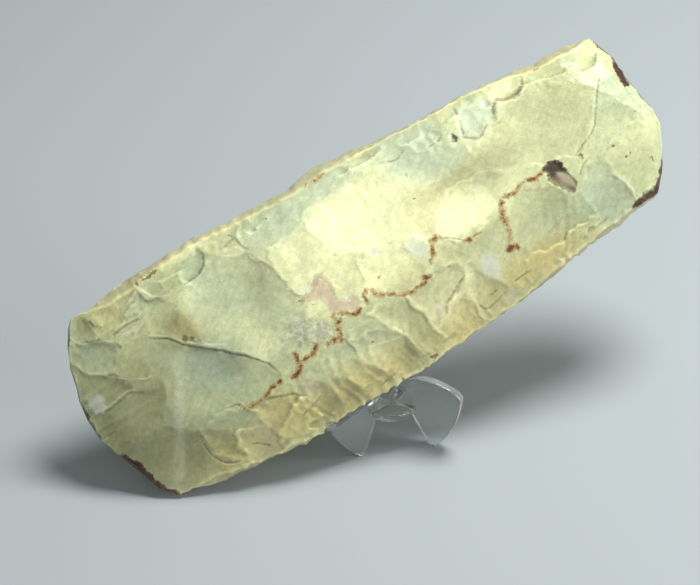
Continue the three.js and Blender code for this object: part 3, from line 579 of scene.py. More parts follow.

# Broad drifts of tone: middle, reach along and across, turn in degrees and strength.
# Lighter spots: partly the stone's own paler tone and partly painted light, strongest over the broad middle
# of the seen face and on the lower band that faces away from the light.
PALE_TONE_AND_PAINTED_LIGHT = [
    (30, -20, 9, 6, 0, 0.35), (8, 20, 17, 10, 0, 0.75), (49, 0, 13, 8, 0, 0.4),
    (12, -32, 36, 12, 0, 0.75), (-49, -6, 7, 9, 20, 0.4), (-60, 10, 8, 9, 0, 0.2),
    (-42, 30, 20, 12, 0, 0.3), (-80, 2, 20, 20, 0, 0.12), (92, -18, 12, 8, 0, 0.3),
    (8, 18, 34, 20, 0, 1.0), (42, 2, 26, 10, 0, 0.8), (-16, 4, 22, 14, 0, 0.35), (64, 30, 9, 9, 0, 0.5),
    (-62, 25, 9, 5, 0, 0.7), (82, 34, 10, 4, 0, 0.6), (-57, 42, 22, 3, 0, 0.6),
    (62, 12, 26, 16, 0, 0.35), (0, -5, 22, 8, 0, 0.5), (115, 28, 8, 8, 0, 0.1),
    (-52, 8, 14, 14, 0, 0.3), (-13, -32, 5, 6, 0, 0.25),
]
COOL = [
    (-72, -2, 15, 10, -40, 0.8), (-18, 33, 18, 8, 0, 0.55), (8, 36, 12, 5, 0, 0.5),
    (36, 30, 14, 9, 0, 0.55), (-58, 35, 8, 6, 0, 0.35), (-56, 25, 12, 8, 0, 0.35),
    (60, 6, 10, 5, 0, 0.35), (-112, 26, 8, 8, 0, 0.4), (76, -20, 22, 12, 0, 0.25),
    (92, -24, 10, 9, 0, 0.5), (-50, 14, 16, 12, 0, 0.3), (50, 22, 16, 8, 0, 0.35),
    (112, 8, 8, 10, 0, 0.3), (-84, 33, 8, 6, 0, 0.4), (-14, -22, 8, 6, 0, 0.4), (66, 31, 6, 7, 0, 0.4),
    (-36, 0, 8, 14, 0, 0.25),
]
STRAW = [
    (-60, -36, 30, 8, 0, 0.55), (-30, -39, 26, 7, 0, 0.65), (5, -36, 26, 10, 0, 0.5),
    (45, -34, 26, 10, 0, 0.5), (66, -30, 20, 8, 0, 0.55), (-72, 15, 8, 7, 0, 0.6),
    (-96, -30, 16, 10, 0, 0.35), (-56, -27, 12, 5, 0, 0.55), (-100, 36, 14, 8, 0, 0.35),
    (-118, -8, 6, 8, 0, 0.5), (-84, -36, 5, 8, 0, 0.5), (-36, 30, 6, 12, 0, 0.25),
    (34, -2, 7, 4, 0, 0.25), (68, 18, 18, 7, 0, 0.25), (104, 6, 16, 12, 0, 0.1),
    (20, -41, 8, 3, 0, 0.6),
]
# Darker spots: partly the stone's own darker tone and partly painted shade, over the blade where its face
# tapers away from the light and in the deep ends of the scars along the lower band.
DARK_TONE_AND_PAINTED_SHADE = [
    (62, 11, 18, 8, 0, 0.75), (-10, -4, 6, 5, 0, 0.4), (-90, -5, 9, 8, 0, 0.45),
    (-71, 10, 5, 6, 0, 0.3), (48, 14, 9, 4, 10, 0.25), (-108, -8, 26, 34, 0, 0.5),
    (-92, -26, 20, 14, 0, 0.35), (-38, 17, 8, 15, -14, 0.5), (-117, -8, 6, 12, 0, 0.3),
    (-38.5, -38.5, 4, 4, 0, 0.8), (-28.5, -38.5, 3.3, 3.8, 0, 0.75), (-15.5, -36, 2.5, 4, -20, 0.5),
    (-1, -37, 2.5, 5, 0, 0.5), (-88, 10, 12, 12, 0, 0.35), (96, -25, 8, 9, 0, 0.3),
    (6, -30, 6, 12, 0, 0.45), (-76, 20, 6, 5, -40, 0.6), (-116, 27, 4, 6, 0, 0.4),
    (74, -14, 12, 7, 0, 0.2), (-15, 20, 5, 6, 0, 0.3), (32, 14, 11, 6, -10, 0.35),
    (-64, -6, 9, 4, -42, 0.5), (-72, 18, 4, 8, 0, 0.3), (90, 18, 10, 8, 0, 0.2),
    (18, -24, 7, 5, 0, 0.2), (-46, -28, 5, 5, 0, 0.2), (-15, -20, 6, 6, 0, 0.3),
    (-58, 12, 8, 8, 0, 0.2), (-6, -34, 6, 8, 0, 0.25), (-107, 36, 4, 5, 0, 0.3),
]
LILAC = [
    (-42, -28, 5, 4, 0, 0.6), (-66, -35, 6, 6, 0, 0.6), (-36, -6, 9, 12, 0, 0.3),
    (-44, -14, 4, 6, 0, 0.3), (-30, -22, 8, 4, 0, 0.2), (-42, -34, 6, 3, 0, 0.3),
]
# Chalky spots, and at (-88, 44.3) a thin painted highlight on the side facet along the upper edge.
CHALK_AND_A_HIGHLIGHT = [
    (6.5, 4.5, 2.6, 2.4, -30, 0.8), (21.2, -3.5, 3.0, 5.0, 8, 0.5), (42.4, -23, 4.2, 6.6, 0, 0.75),
    (43.5, -37, 4, 3, 0, 0.4), (17, -28.5, 6, 4, 20, 0.35), (-117.3, 8.2, 3.8, 4.0, 30, 0.9),
    (30, 38, 1.0, 1.2, 0, 0.9), (-88, 44.3, 4.5, 0.7, 6, 1.0), (-24.5, 5.8, 2.6, 2.2, 0, 0.6),
    (-11.5, -5.4, 4, 2, -30, 0.4), (-92, 26, 6, 3, 0, 0.35), (38.3, 34, 1.2, 1.0, 0, 0.5),
]
CRUST = [
    (-36, -7, 11, 12, 0, 1.0), (-26, -12, 8, 7, 0, 0.9), (42.4, -23, 5, 7, 0, 0.6),
    (84, 1, 5, 3, 0, 0.5), (-55, -26, 10, 4, 0, 0.25), (-35, -22, 10, 3, 0, 0.4),
]


def drift(x, y, spots, sharpness=1.0):
    """Adds up soft-edged spots of tone."""
    total = np.zeros_like(x)
    for cx, cy, reach_x, reach_y, turn, strength in spots:
        c, s = math.cos(math.radians(turn)), math.sin(math.radians(turn))
        u = ((x - cx) * c + (y - cy) * s) / reach_x
        v = (-(x - cx) * s + (y - cy) * c) / reach_y
        total += strength * np.exp(-(u * u + v * v) ** sharpness)
    return total


def smooth_line(points, spans=4):
    """Rounds a line through its points."""
    if len(points) < 3:
        return points
    path = []
    ends = [points[0]] + list(points) + [points[-1]]
    for i in range(1, len(ends) - 2):
        before, start, end, after = (np.array(ends[i + j], dtype=float) for j in (-1, 0, 1, 2))
        for step in range(spans):
            t = step / spans
            slope = end - before
            bend = 2 * before - 5 * start + 4 * end - after
            twist = 3 * start - before - 3 * end + after
            path.append(tuple(0.5 * (2 * start + slope * t + bend * t * t + twist * t ** 3)))
    path.append(tuple(map(float, points[-1])))
    return path


def measure(x, y, points, rounded=True):
    """How far each point is from a line, on which side (1 is right of it) and how far along it, 0 to 1."""
    path = smooth_line(points) if rounded else points
    lengths = [math.dist(a, b) for a, b in zip(path, path[1:])]
    total = sum(lengths)
    nearest = np.full(x.shape, 1e9)
    side = np.ones_like(x)
    share = np.zeros_like(x)
    start = 0.0
    for (ax, ay), (bx, by), length in zip(path, path[1:], lengths):
        dx, dy = bx - ax, by - ay
        t = np.clip(((x - ax) * dx + (y - ay) * dy) / (length * length), 0, 1)
        px, py = x - ax - t * dx, y - ay - t * dy
        gap = px * px + py * py
        nearer = gap < nearest
        nearest = np.where(nearer, gap, nearest)
        side = np.where(nearer, np.sign(dy * px - dx * py), side)
        share = np.where(nearer, (start + t * length) / total, share)
        start += length
    return np.sqrt(nearest), side, share


def near(x, y, points, margin):
    """Which places are in the box round the points, made wider by the margin."""
    xs, ys = zip(*points)
    along_x = (x > min(xs) - margin) & (x < max(xs) + margin)
    return along_x & (y > min(ys) - margin) & (y < max(ys) + margin)


def line_field(x, y, lines):
    """Distance to the nearest of many lines less its half width, so it is below zero inside a line."""
    field = np.full(x.shape, FAR)
    for half, points in lines:
        close = near(x, y, points, 8)
        gap, _, share = measure(x[close], y[close], points)
        ends = np.minimum(1, 0.55 + 3 * np.minimum(share, 1 - share))
        field[close] = np.minimum(field[close], gap - half * ends)
    return field


def patch_field(x, y, corners):
    """Distance to a closed outline, below zero inside it."""
    loop = list(corners) + [corners[0]]
    gap, _, _ = measure(x, y, loop, rounded=False)
    inside = np.zeros(x.shape, dtype=bool)
    for (ax, ay), (bx, by) in zip(loop, loop[1:]):
        if ay == by:
            continue
        crosses = ((ay > y) != (by > y)) & (x < (bx - ax) * (y - ay) / (by - ay) + ax)
        inside ^= crosses
    return np.where(inside, -gap, gap)


def scar_fields(x, y, height, scars, keel_line, seed, level=None):
    """Carves hollow scars, with a gentle start, a steeper far end and faint ripples, each with its tone."""
    roll = random.Random(seed)
    tone = np.zeros_like(x)
    warp_x, warp_y = waved(x, y, [(2.0, 13), (0.5, 3.5)], seed)
    step = 3.0
    for cx, cy, run, length, width, depth in scars:
        # The scar lies in the slope of the surface round its middle.
        places_x = np.array([cx, cx + step, cx - step, cx, cx])
        places_y = np.array([cy, cy, cy, cy + step, cy - step])
        if level is None:
            samples = base_height(places_x, places_y, keel_line)
        else:
            samples = [level.flat[np.argmin((x - px) ** 2 + (y - py) ** 2)]
                       for px, py in zip(places_x, places_y)]
        depth = depth * SCAR_DEPTH
        rise_x = (samples[1] - samples[2]) / (2 * step)
        rise_y = (samples[3] - samples[4]) / (2 * step)
        c, s = math.cos(math.radians(run)), math.sin(math.radians(run))
        u = ((warp_x - cx) * c + (warp_y - cy) * s) / (length / 2)
        v = (-(warp_x - cx) * s + (warp_y - cy) * c) / (width / 2)
        bowl = np.where(u > 0, 0.35 * u * u + 0.65 * u ** 4, u * u) + v * v
        floor = samples[0] + rise_x * (x - cx) + rise_y * (y - cy) - depth * (1 - bowl)
        ripple = np.hypot((u + 1.2) * length / 2, v * width / 2)
        wave = roll.uniform(2.4, 4.2)
        faint = 0.015 * np.clip(cloud(x, y, 14, seed + 5) + 0.1, 0, 1)
        floor = floor + faint * np.sin(ripple * 2 * math.pi / wave + roll.uniform(0, 6))
        shade = roll.uniform(-1, 1)
        hit = (floor < height) & (bowl < 1.6)
        tone = np.where(hit, shade, tone)
        height = np.where(hit, floor, height)
    return height, tone


def edge_scars(seed):
    """Small scars whose mouths are the bites along the outline."""
    roll = random.Random(seed)
    scars = []
    # The scars along the lower edge are shorter and half as deep.
    for edge, outline, mouths, lengths, strength in ((1, UPPER_EDGE, UPPER_MOUTHS, (4, 13), 1),
                                                     (-1, LOWER_EDGE, LOWER_MOUTHS, (3, 7), 0.5)):
        for start, end, depth in mouths:
            place = (start + end) / 2
            length = roll.uniform(*lengths)
            run = -90 * edge + roll.uniform(-25, 25)
            depth = (roll.uniform(0.15, 0.4) + depth * 0.2) * strength
            scars.append((place, edge * (along(outline, place) - length * 0.25), run, length,
                          (end - start) * 1.4, depth))
    for inwards, outline, mouths, shortest in ((1, BLADE_END, BLADE_MOUTHS, 9),
                                               (-1, BUTT_END, BUTT_MOUTHS, 8)):
        for start, end, depth in mouths:
            place = (start + end) / 2
            length = roll.uniform(shortest, shortest + 6)
            run = 90 - 90 * inwards + roll.uniform(-15, 15)
            scars.append((along(outline, place) + inwards * length * 0.3, place, run, length,
                          (end - start) * 1.6, 0.3 + depth * 0.25))
    return scars


def facet_fields(x, y, level):
    """Lays the later scars over the older surface, each dished and with its own tone, partly painted
    shading, and warmth.
    """
    height = level - 0.1
    tone = np.zeros_like(x)
    warmth = np.zeros_like(x)
    wave_x, wave_y = waved(x, y, [(1.6, 7), (0.8, 2.7), (0.3, 1.2)], 81)
    # In places a border is worn or never was sharp, so there it melts over a few millimetres.
    melt = 4 * smoothstep(0.0, 0.6, cloud(x, y, 13, 4077))
    for light, warm, depth, aim, outline in FACETS:
        corners = np.array(outline)
        cx, cy = corners.mean(axis=0)
        c, s = math.cos(math.radians(aim)), math.sin(math.radians(aim))
        reach_u = np.abs((corners[:, 0] - cx) * c + (corners[:, 1] - cy) * s).max()
        reach_v = np.abs(-(corners[:, 0] - cx) * s + (corners[:, 1] - cy) * c).max()
        close = near(x, y, outline, 3)
        px, py = wave_x[close], wave_y[close]
        gap = patch_field(px, py, smooth_line(outline + outline[:1], 3))
        inside = smoothstep(1.0, 0.3 - melt[close], gap)
        u = ((px - cx) * c + (py - cy) * s) / reach_u
        v = (-(px - cx) * s + (py - cy) * c) / reach_v
        hollow = 0.5 * (1 - 0.75 * (u * u + v * v) + 0.2 * u) + 0.5 * (1 - np.exp(np.minimum(gap, 0) / 3))
        floor = level[close] - depth * FACET_DEPTH * hollow
        height[close] += (floor - height[close]) * inside
        # Painted shade: each facet darkens towards the end where it deepens.
        tone[close] += (light - 0.3 * u - tone[close]) * inside
        warmth[close] += (warm - warmth[close]) * inside
    return height, tone, warmth


def back_scars():
    """Plainer broad scars from both long edges that meet near the middle of the hidden face."""
    roll = random.Random(4127)
    scars = []
    # The broad scars first and then the shorter ones: how far apart, how much each may shift, how far out,
    # how much its direction may turn, and its length, width and depth.
    for pitch, shift, out, turn, lengths, widths, depths in (
            (24, 6, (16, 26), 18, (42, 58), (28, 40), (1.2, 2.2)),
            (15, 4, (32, 37), 20, (16, 26), (13, 20), (0.7, 1.3))):
        for x in range(-100, 116, pitch):
            for edge in (-1, 1):
                scars.append((x + roll.uniform(-shift, shift), edge * roll.uniform(*out),
                              -90 * edge + roll.uniform(-turn, turn), roll.uniform(*lengths),
                              roll.uniform(*widths), roll.uniform(*depths)))
    for y in range(-30, 34, 12):
        scars.append((-104 + roll.uniform(-3, 3), y, roll.uniform(-12, 12), roll.uniform(26, 36), 14, 0.9))
        scars.append((114 + roll.uniform(-3, 3), y * 0.8, 180 + roll.uniform(-12, 12), 22, 14, 0.9))
    return scars


def pebble_share(x, y):
    """How far from the middle of the pebble in the hollow, 1 at its rim."""
    px, py = x - PEBBLE[0], y - PEBBLE[1]
    u = px * PEBBLE_TURN[0] + py * PEBBLE_TURN[1]
    v = -px * PEBBLE_TURN[1] + py * PEBBLE_TURN[0]
    return np.hypot((u + 0.4 * cloud(x, y, 2.0, 39)) / PEBBLE_HALF[0], v / PEBBLE_HALF[1])


def drawn_relief(x, y):
    """The crests, steps, cracks and hollows of the seen face that are placed one by one."""
    relief = np.zeros_like(x)
    painted_step_shade = np.zeros_like(x)
    wave_x, wave_y = waved(x, y, [(0.5, 2.6), (0.25, 1.2)], 31)
    for height, reach, points in CRESTS:
        close = near(x, y, points, 4 * reach + 1)
        gap, _, share = measure(wave_x[close], wave_y[close], points)
        fade = smoothstep(0, 0.2, np.minimum(share, 1 - share) + 0.06)
        relief[close] += 0.45 * height * fade * np.exp(-gap / (0.7 * reach))
    for depth, reach, points in DROPS:
        close = near(x, y, points, 3 * reach + 1)
        gap, side, share = measure(wave_x[close], wave_y[close], points)
        fade = smoothstep(0, 0.16, np.minimum(share, 1 - share) + 0.02)
        away = gap * side
        fall = smoothstep(-0.15, 0.6, away) * np.exp(-np.maximum(away, 0) / (0.7 * reach))
        lip = np.exp(-gap / (reach * 0.12))
        relief[close] += 0.22 * depth * fade * (0.25 * lip - fall)
        # The low side of each step is also darkened in the colour: painted shade.
        painted_step_shade[close] += min(depth, 1.2) * fade * fall
    for half, points in CRACKS_AND_STEP_SHADOWS:
        close = near(x, y, points, 3)
        gap, _, share = measure(x[close], y[close], points)
        fade = smoothstep(0, 0.1, np.minimum(share, 1 - share) + 0.03)
        relief[close] -= 0.16 * np.exp(-(gap / (half + 0.35)) ** 2) * fade
    pit = patch_field(*waved(x, y, [(0.3, 1.5)], 35), PIT)
    relief -= 0.8 * smoothstep(0.3, -1.6, pit)
    pebble = pebble_share(x, y)
    relief += 0.6 * np.sqrt(np.clip(1 - pebble ** 2, 0, 1))
    relief -= 0.7 * smoothstep(0.2, -1.2, patch_field(x, y, SMALL_PIT))
    crust = drift(x, y, CRUST)
    relief += crust * (0.16 * cloud(x, y, 1.6, 37) + 0.1 * cloud(x, y, 3.1, 38))
    return relief, painted_step_shade


def soften(values, times):
    """Evens out a grid of values by mixing each with its four neighbours, again and again."""
    for _ in range(times):
        padded = np.pad(values, 1, mode="edge")
        beside = 4 * values + padded[2:, 1:-1] + padded[:-2, 1:-1]
        values = (beside + padded[1:-1, 2:] + padded[1:-1, :-2]) / 8
    return values


def face_points(front):
    """One face as a grid of points: rows along the axe, columns from the upper edge to the lower one."""
    even = np.linspace(0, 1, ROWS + 1)
    share = ((1 - CROWDING) * even + CROWDING * (1 - np.cos(math.pi * even)) / 2)[:, None]
    across = np.linspace(1, -1, (FRONT_COLUMNS if front else BACK_COLUMNS) + 1)[None, :]
    guess = ROWS_START + ROWS_REACH * share
    # The worn strip and the rounded rims fade out over the last 7 mm at each end.
    ends = np.clip(np.minimum(share, 1 - share) * ROWS_REACH / 7, 0, 1)
    strip = along(STRIP, guess) * ends if front else 1.2 * ends
    under_strip = 0.2 * ends if front else 1.2 * ends
    y = across * np.where(across > 0, upper(guess) - strip, lower(guess) - under_strip)
    x = blade_end(y) * (1 - share) + butt_end(y) * share
    height = base_height(x, y, front)
    rough = 0.25 * cloud(x, y, 15, 41 + front) + 0.1 * cloud(x, y, 6, 43 + front)
    rough = rough + 0.04 * cloud(x, y, 2.6, 45) + 0.02 * cloud(x, y, 1.3, 47)
    if front:
        height, _ = scar_fields(x, y, height, SCARS, True, 51)
        level = soften(height, 40)
        height, tone, warmth = facet_fields(x, y, level)
        height, small_tone = scar_fields(x, y, height, edge_scars(52), True, 53, level)
        tone = np.where(small_tone != 0, 0.6 * tone + 0.3 * small_tone, tone)
        relief, painted_step_shade = drawn_relief(x, y)
        height = height + relief
    else:
        painted_step_shade = warmth = 0 * x
        height, tone = scar_fields(x, y, height, back_scars(), False, 54)
        height, small_tone = scar_fields(x, y, height, edge_scars(55), False, 56)
        tone = 0.4 * np.where(small_tone != 0, small_tone, tone) + 0.3 * cloud(x, y, 17, 57)
    inner = swell(np.minimum(x - blade_end(y), butt_end(y) - x), 4, 0.5)
    height = np.maximum(height + rough * inner, 0.1)
    height = np.where((share == 0) | (share == 1), END_HALF, height)
    border = (1 - np.abs(across)) * HALF_WIDTH + 0 * x
    rim = np.exp(-border / np.where(across > 0, *RIM_REACH))
    tone = 0.75 * tone + 0.25 * soften(tone, 30)
    warmth = 0.4 * warmth + 0.6 * soften(warmth, 60)
    return x, y, height, tone, rim, painted_step_shade, warmth


def axe_tube():
    """The whole surface as rings round the axe, and what the material needs to know at each point."""
    front_x, front_y, front_z, front_tone, front_rim, front_painted_step_shade, front_warmth = face_points(True)
    back_x, back_y, back_z, back_tone, back_rim, back_painted_step_shade, back_warmth = face_points(False)
    # Which part a point is on: 0 on the seen face, -1 on the hidden one, and on a long side 1 plus how many
    # millimetres it is below the seen face.
    seen = np.zeros_like(front_x)
    hidden = np.full_like(back_x, -1.0)
    columns = [(front_x, front_y, front_z, front_tone, seen, front_rim, front_painted_step_shade, front_warmth)]

    def flank(edge, sign, reverse):
        """One long side, as columns of points from one face's edge to the other's."""
        parts = []
        x0, y0, z0 = front_x[:, edge], front_y[:, edge], front_z[:, edge]
        x1, y1, z1 = back_x[:, edge], back_y[:, edge], -back_z[:, edge]
        rim = upper(x0) if sign > 0 else lower(x0)
        rim_line = along(UPPER_EDGE if sign > 0 else LOWER_EDGE, x0)
        thick = z0 - z1
        for step in range(1, SIDE_COLUMNS):
            share = step / SIDE_COLUMNS
            if reverse:
                share = 1 - share
            x, z = x0 + (x1 - x0) * share, z0 + (z1 - z0) * share
            proud = np.where(share < 0.5, 1 - (1 - 2 * share) ** 2, 1 - (2 * share - 1) ** 2)
            edge_line = y0 + (y1 - y0) * share
            ends = np.clip(thick / 4, 0, 1)
            # The side was flaked from both faces, so its scars change from one edge to the other.
            slant = x + 5 * cloud(x, z, 9, 64)
            behind = rim_line - bite(slant, BACK_MOUTHS)
            ridge = rim + (behind - rim) * smoothstep(0.15, 0.7, share)
            y = edge_line + (sign * ridge - edge_line) * proud * ends
            y = y + sign * ends * (0.6 * cloud(slant, z, 5, 61) + 0.25 * cloud(x, z, 2, 62)) * proud
            tone = 0.8 * cloud(slant, z, 6, 63)
            below = share * thick
            parts.append((x, y, z, tone, 1 + below, 0 * x, 0 * x, 0 * x))
        return [np.stack(values, axis=1) for values in zip(*parts)]

    columns.append(flank(-1, -1, False))
    back = (back_x, back_y, -back_z, back_tone, hidden, back_rim, back_painted_step_shade, back_warmth)
    columns.append([values[:, ::-1] for values in back])
    columns.append(flank(0, 1, True))
    x, y, z, tone, part, rim, painted_step_shade, warmth = (np.concatenate(values, axis=1) for values in zip(*columns))
    # How far each face stands proud of its softened self: above zero on crests and below it in hollows. The
    # material paints highlight on the crests and shade in the hollows from it.
    front_proud = front_z - soften(front_z, 5)
    back_proud = (back_z - soften(back_z, 5))[:, ::-1]
    ridge = np.concatenate([front_proud, 0 * columns[1][0], back_proud, 0 * columns[3][0]], axis=1)
    closed = []
    for values in (x, y, z, tone, part, rim, painted_step_shade, warmth, ridge):
        closed.append(np.concatenate([values, values[:, :1]], axis=1))
    return closed


def lying():
    """The turn from the axe's own frame to the way it lies."""
    length = Vector((math.cos(CLIMB), 0, math.sin(CLIMB)))
    up = math.sin(FACE_LIFT) / math.cos(CLIMB)
    face = Vector((-math.sin(CLIMB) * up, -math.sqrt(1 - up * up), math.cos(CLIMB) * up))
    across = face.cross(length)
    return Matrix((length, across, face)).transposed()


LYING = lying()


def srgb(code):
    """The linear colour of a hex code."""
    values = [int(code[i:i + 2], 16) / 255 for i in (1, 3, 5)]
    return [v / 12.92 if v <= 0.04045 else ((v + 0.055) / 1.055) ** 2.4 for v in values] + [1.0]


def add(tree, kind, values=None, feeds=None, **settings):
    """Adds one node with its settings, its plain input values and the outputs that feed it."""
    new = tree.nodes.new(kind)
    for name, value in settings.items():
        setattr(new, name, value)
    for socket, value in (values or {}).items():
        new.inputs[socket].default_value = value
    for socket, source in (feeds or {}).items():
        tree.links.new(source, new.inputs[socket])
    return new


def deselect():
    """Leaves edit mode and selects nothing."""
    if bpy.context.object and bpy.context.object.mode != "OBJECT":
        bpy.ops.object.mode_set(mode="OBJECT")
    bpy.ops.object.select_all(action="DESELECT")


def pick(piece):
    """Selects the piece alone and makes it the active one."""
    deselect()
    piece.select_set(True)
    bpy.context.view_layer.objects.active = piece


def apply_all(piece):
    """Applies the piece's modifiers in order."""
    pick(piece)
    for modifier in list(piece.modifiers):
        bpy.ops.object.modifier_apply(modifier=modifier.name)


def merge_points():
    """Goes into edit mode, merges points less than 0.01 mm apart and takes out faces with no area."""
    bpy.ops.object.mode_set(mode="EDIT")
    bpy.ops.mesh.select_all(action="SELECT")
    bpy.ops.mesh.remove_doubles(threshold=0.01 * MM)
    bpy.ops.mesh.dissolve_degenerate(threshold=0.005 * MM)


def make_axe():
    """The axe as one mesh, with what the material needs to know stored at each point."""
    x, y, z, tone, part, rim, painted_step_shade, warmth, ridge = axe_tube()
    rows, ring = x.shape
    deselect()
    bpy.ops.mesh.primitive_grid_add(x_subdivisions=ring - 1, y_subdivisions=rows - 1, size=0.1)
    axe = bpy.context.object
    axe.name = "flint_axe_head"
    mesh = axe.data
    flat_x, flat_y, flat_z = x.ravel(), y.ravel(), z.ravel()
    own = np.stack([flat_x, flat_y, flat_z], axis=1)
    world = own @ np.array(LYING).T + np.array(AXE_ORIGIN)
    world[:, 2] = np.maximum(world[:, 2], 0)
    mesh.vertices.foreach_set("co", (world * MM).ravel())
    seen = part.ravel() >= 0
    below = np.maximum(part.ravel() - 1, 0)
    warp_x, warp_y = waved(flat_x, flat_y, [(0.35, 1.7)], 71)
    speck = np.full(flat_x.shape, FAR)
    for cx, cy, radius in SPECKS:
        speck = np.minimum(speck, np.hypot(warp_x - cx, warp_y - cy) - radius)
    pebble = pebble_share(flat_x, flat_y)
    streak, _, _ = measure(flat_x, flat_y, STREAK)
    fields = {
        "vein": line_field(warp_x, warp_y, VEINS),
        "crack_and_step_shadow": line_field(flat_x, flat_y, CRACKS_AND_STEP_SHADOWS),
        "stain": line_field(warp_x, warp_y, STAINS),
        "glint": line_field(flat_x, flat_y, GLINTS),
        "rim": rim.ravel(),
        "painted_step_shade": painted_step_shade.ravel(),
        "speck": speck,
        "pit": patch_field(warp_x, warp_y, PIT),
        "small_pit": patch_field(warp_x, warp_y, SMALL_PIT),
        "pit_top": patch_field(warp_x, warp_y, PIT_TOP),
        "pebble": 1.3 * (pebble - 1),
        "pink": patch_field(warp_x, warp_y, PINK_PATCH),
        "rind": line_field(warp_x, warp_y, RIND),
        "pale": drift(flat_x, flat_y, PALE_TONE_AND_PAINTED_LIGHT),
        "cool": drift(flat_x, flat_y, COOL),
        "straw": drift(flat_x, flat_y, STRAW),
        "shade": drift(flat_x, flat_y, DARK_TONE_AND_PAINTED_SHADE),
        "lilac": drift(warp_x, warp_y, LILAC),
        "chalk_and_highlight": drift(warp_x, warp_y, CHALK_AND_A_HIGHLIGHT, 1.5),
        "crust": drift(flat_x, flat_y, CRUST),
        "streak": np.exp(-(streak / STREAK_HALF) ** 2),
        "buff": np.where(part.ravel() > 0, 1.0, 0.0),
        "facet_tone_and_painted_shade": tone.ravel(),
        "warm": warmth.ravel(),
        "ridge": ridge.ravel(),
    }
    distances = ("vein", "crack_and_step_shadow", "stain", "glint", "speck", "pit", "pit_top", "small_pit", "pebble",
                 "pink")
    # The marks run a little way down the long sides and don't reach the hidden face, which has only the rind
    # and, more faintly, the broad tones.
    for name, values in fields.items():
        if name in distances:
            values = np.where(seen, values + 0.8 * below, FAR)
        elif name == "rind":
            values = values + 0.35 * below + 0.4 * np.maximum(0, -flat_z)
        elif name in ("pale", "shade", "straw"):
            values = np.where(seen, values, 0.45 * values)
        elif name in ("lilac", "chalk_and_highlight", "crust", "streak"):
            values = np.where(seen, values, 0)
        layer = mesh.attributes.new(name=name, type="FLOAT", domain="POINT")
        layer.data.foreach_set("value", values.astype(np.float32))
    mesh.update()
    merge_points()
    # The thin rims of both ends are still open.
    bpy.ops.mesh.select_all(action="DESELECT")
    bpy.ops.mesh.select_non_manifold()
    bpy.ops.mesh.fill_holes(sides=0)
    bpy.ops.mesh.select_all(action="SELECT")
    bpy.ops.mesh.normals_make_consistent(inside=False)
    bpy.ops.object.mode_set(mode="OBJECT")
    bpy.ops.object.transform_apply(location=True, rotation=True, scale=True)
    bpy.ops.object.shade_smooth()
    return axe


def frayed(tree, field, noise, swing):
    """A field pushed in and out by noise, by up to the swing either way."""
    push = add(tree, "ShaderNodeMath", {1: 2 * swing, 2: -swing}, {0: noise}, operation="MULTIPLY_ADD")
    pushed = add(tree, "ShaderNodeMath", None, {0: field, 1: push.outputs[0]}, operation="ADD")
    return pushed.outputs[0]


def lay_over(tree, colour, code, amount, low, high, most):
    """Mixes one more colour over those below, from none of it at low to the most at high."""
    share = add(tree, "ShaderNodeMapRange",
                {"From Min": low, "From Max": high, "To Min": 0, "To Max": most}, {"Value": amount},
                interpolation_type="SMOOTHSTEP")
    mixed = add(tree, "ShaderNodeMix", {7: srgb(code)}, {0: share.outputs["Result"], 6: colour},
                data_type="RGBA")
    return mixed.outputs[2]


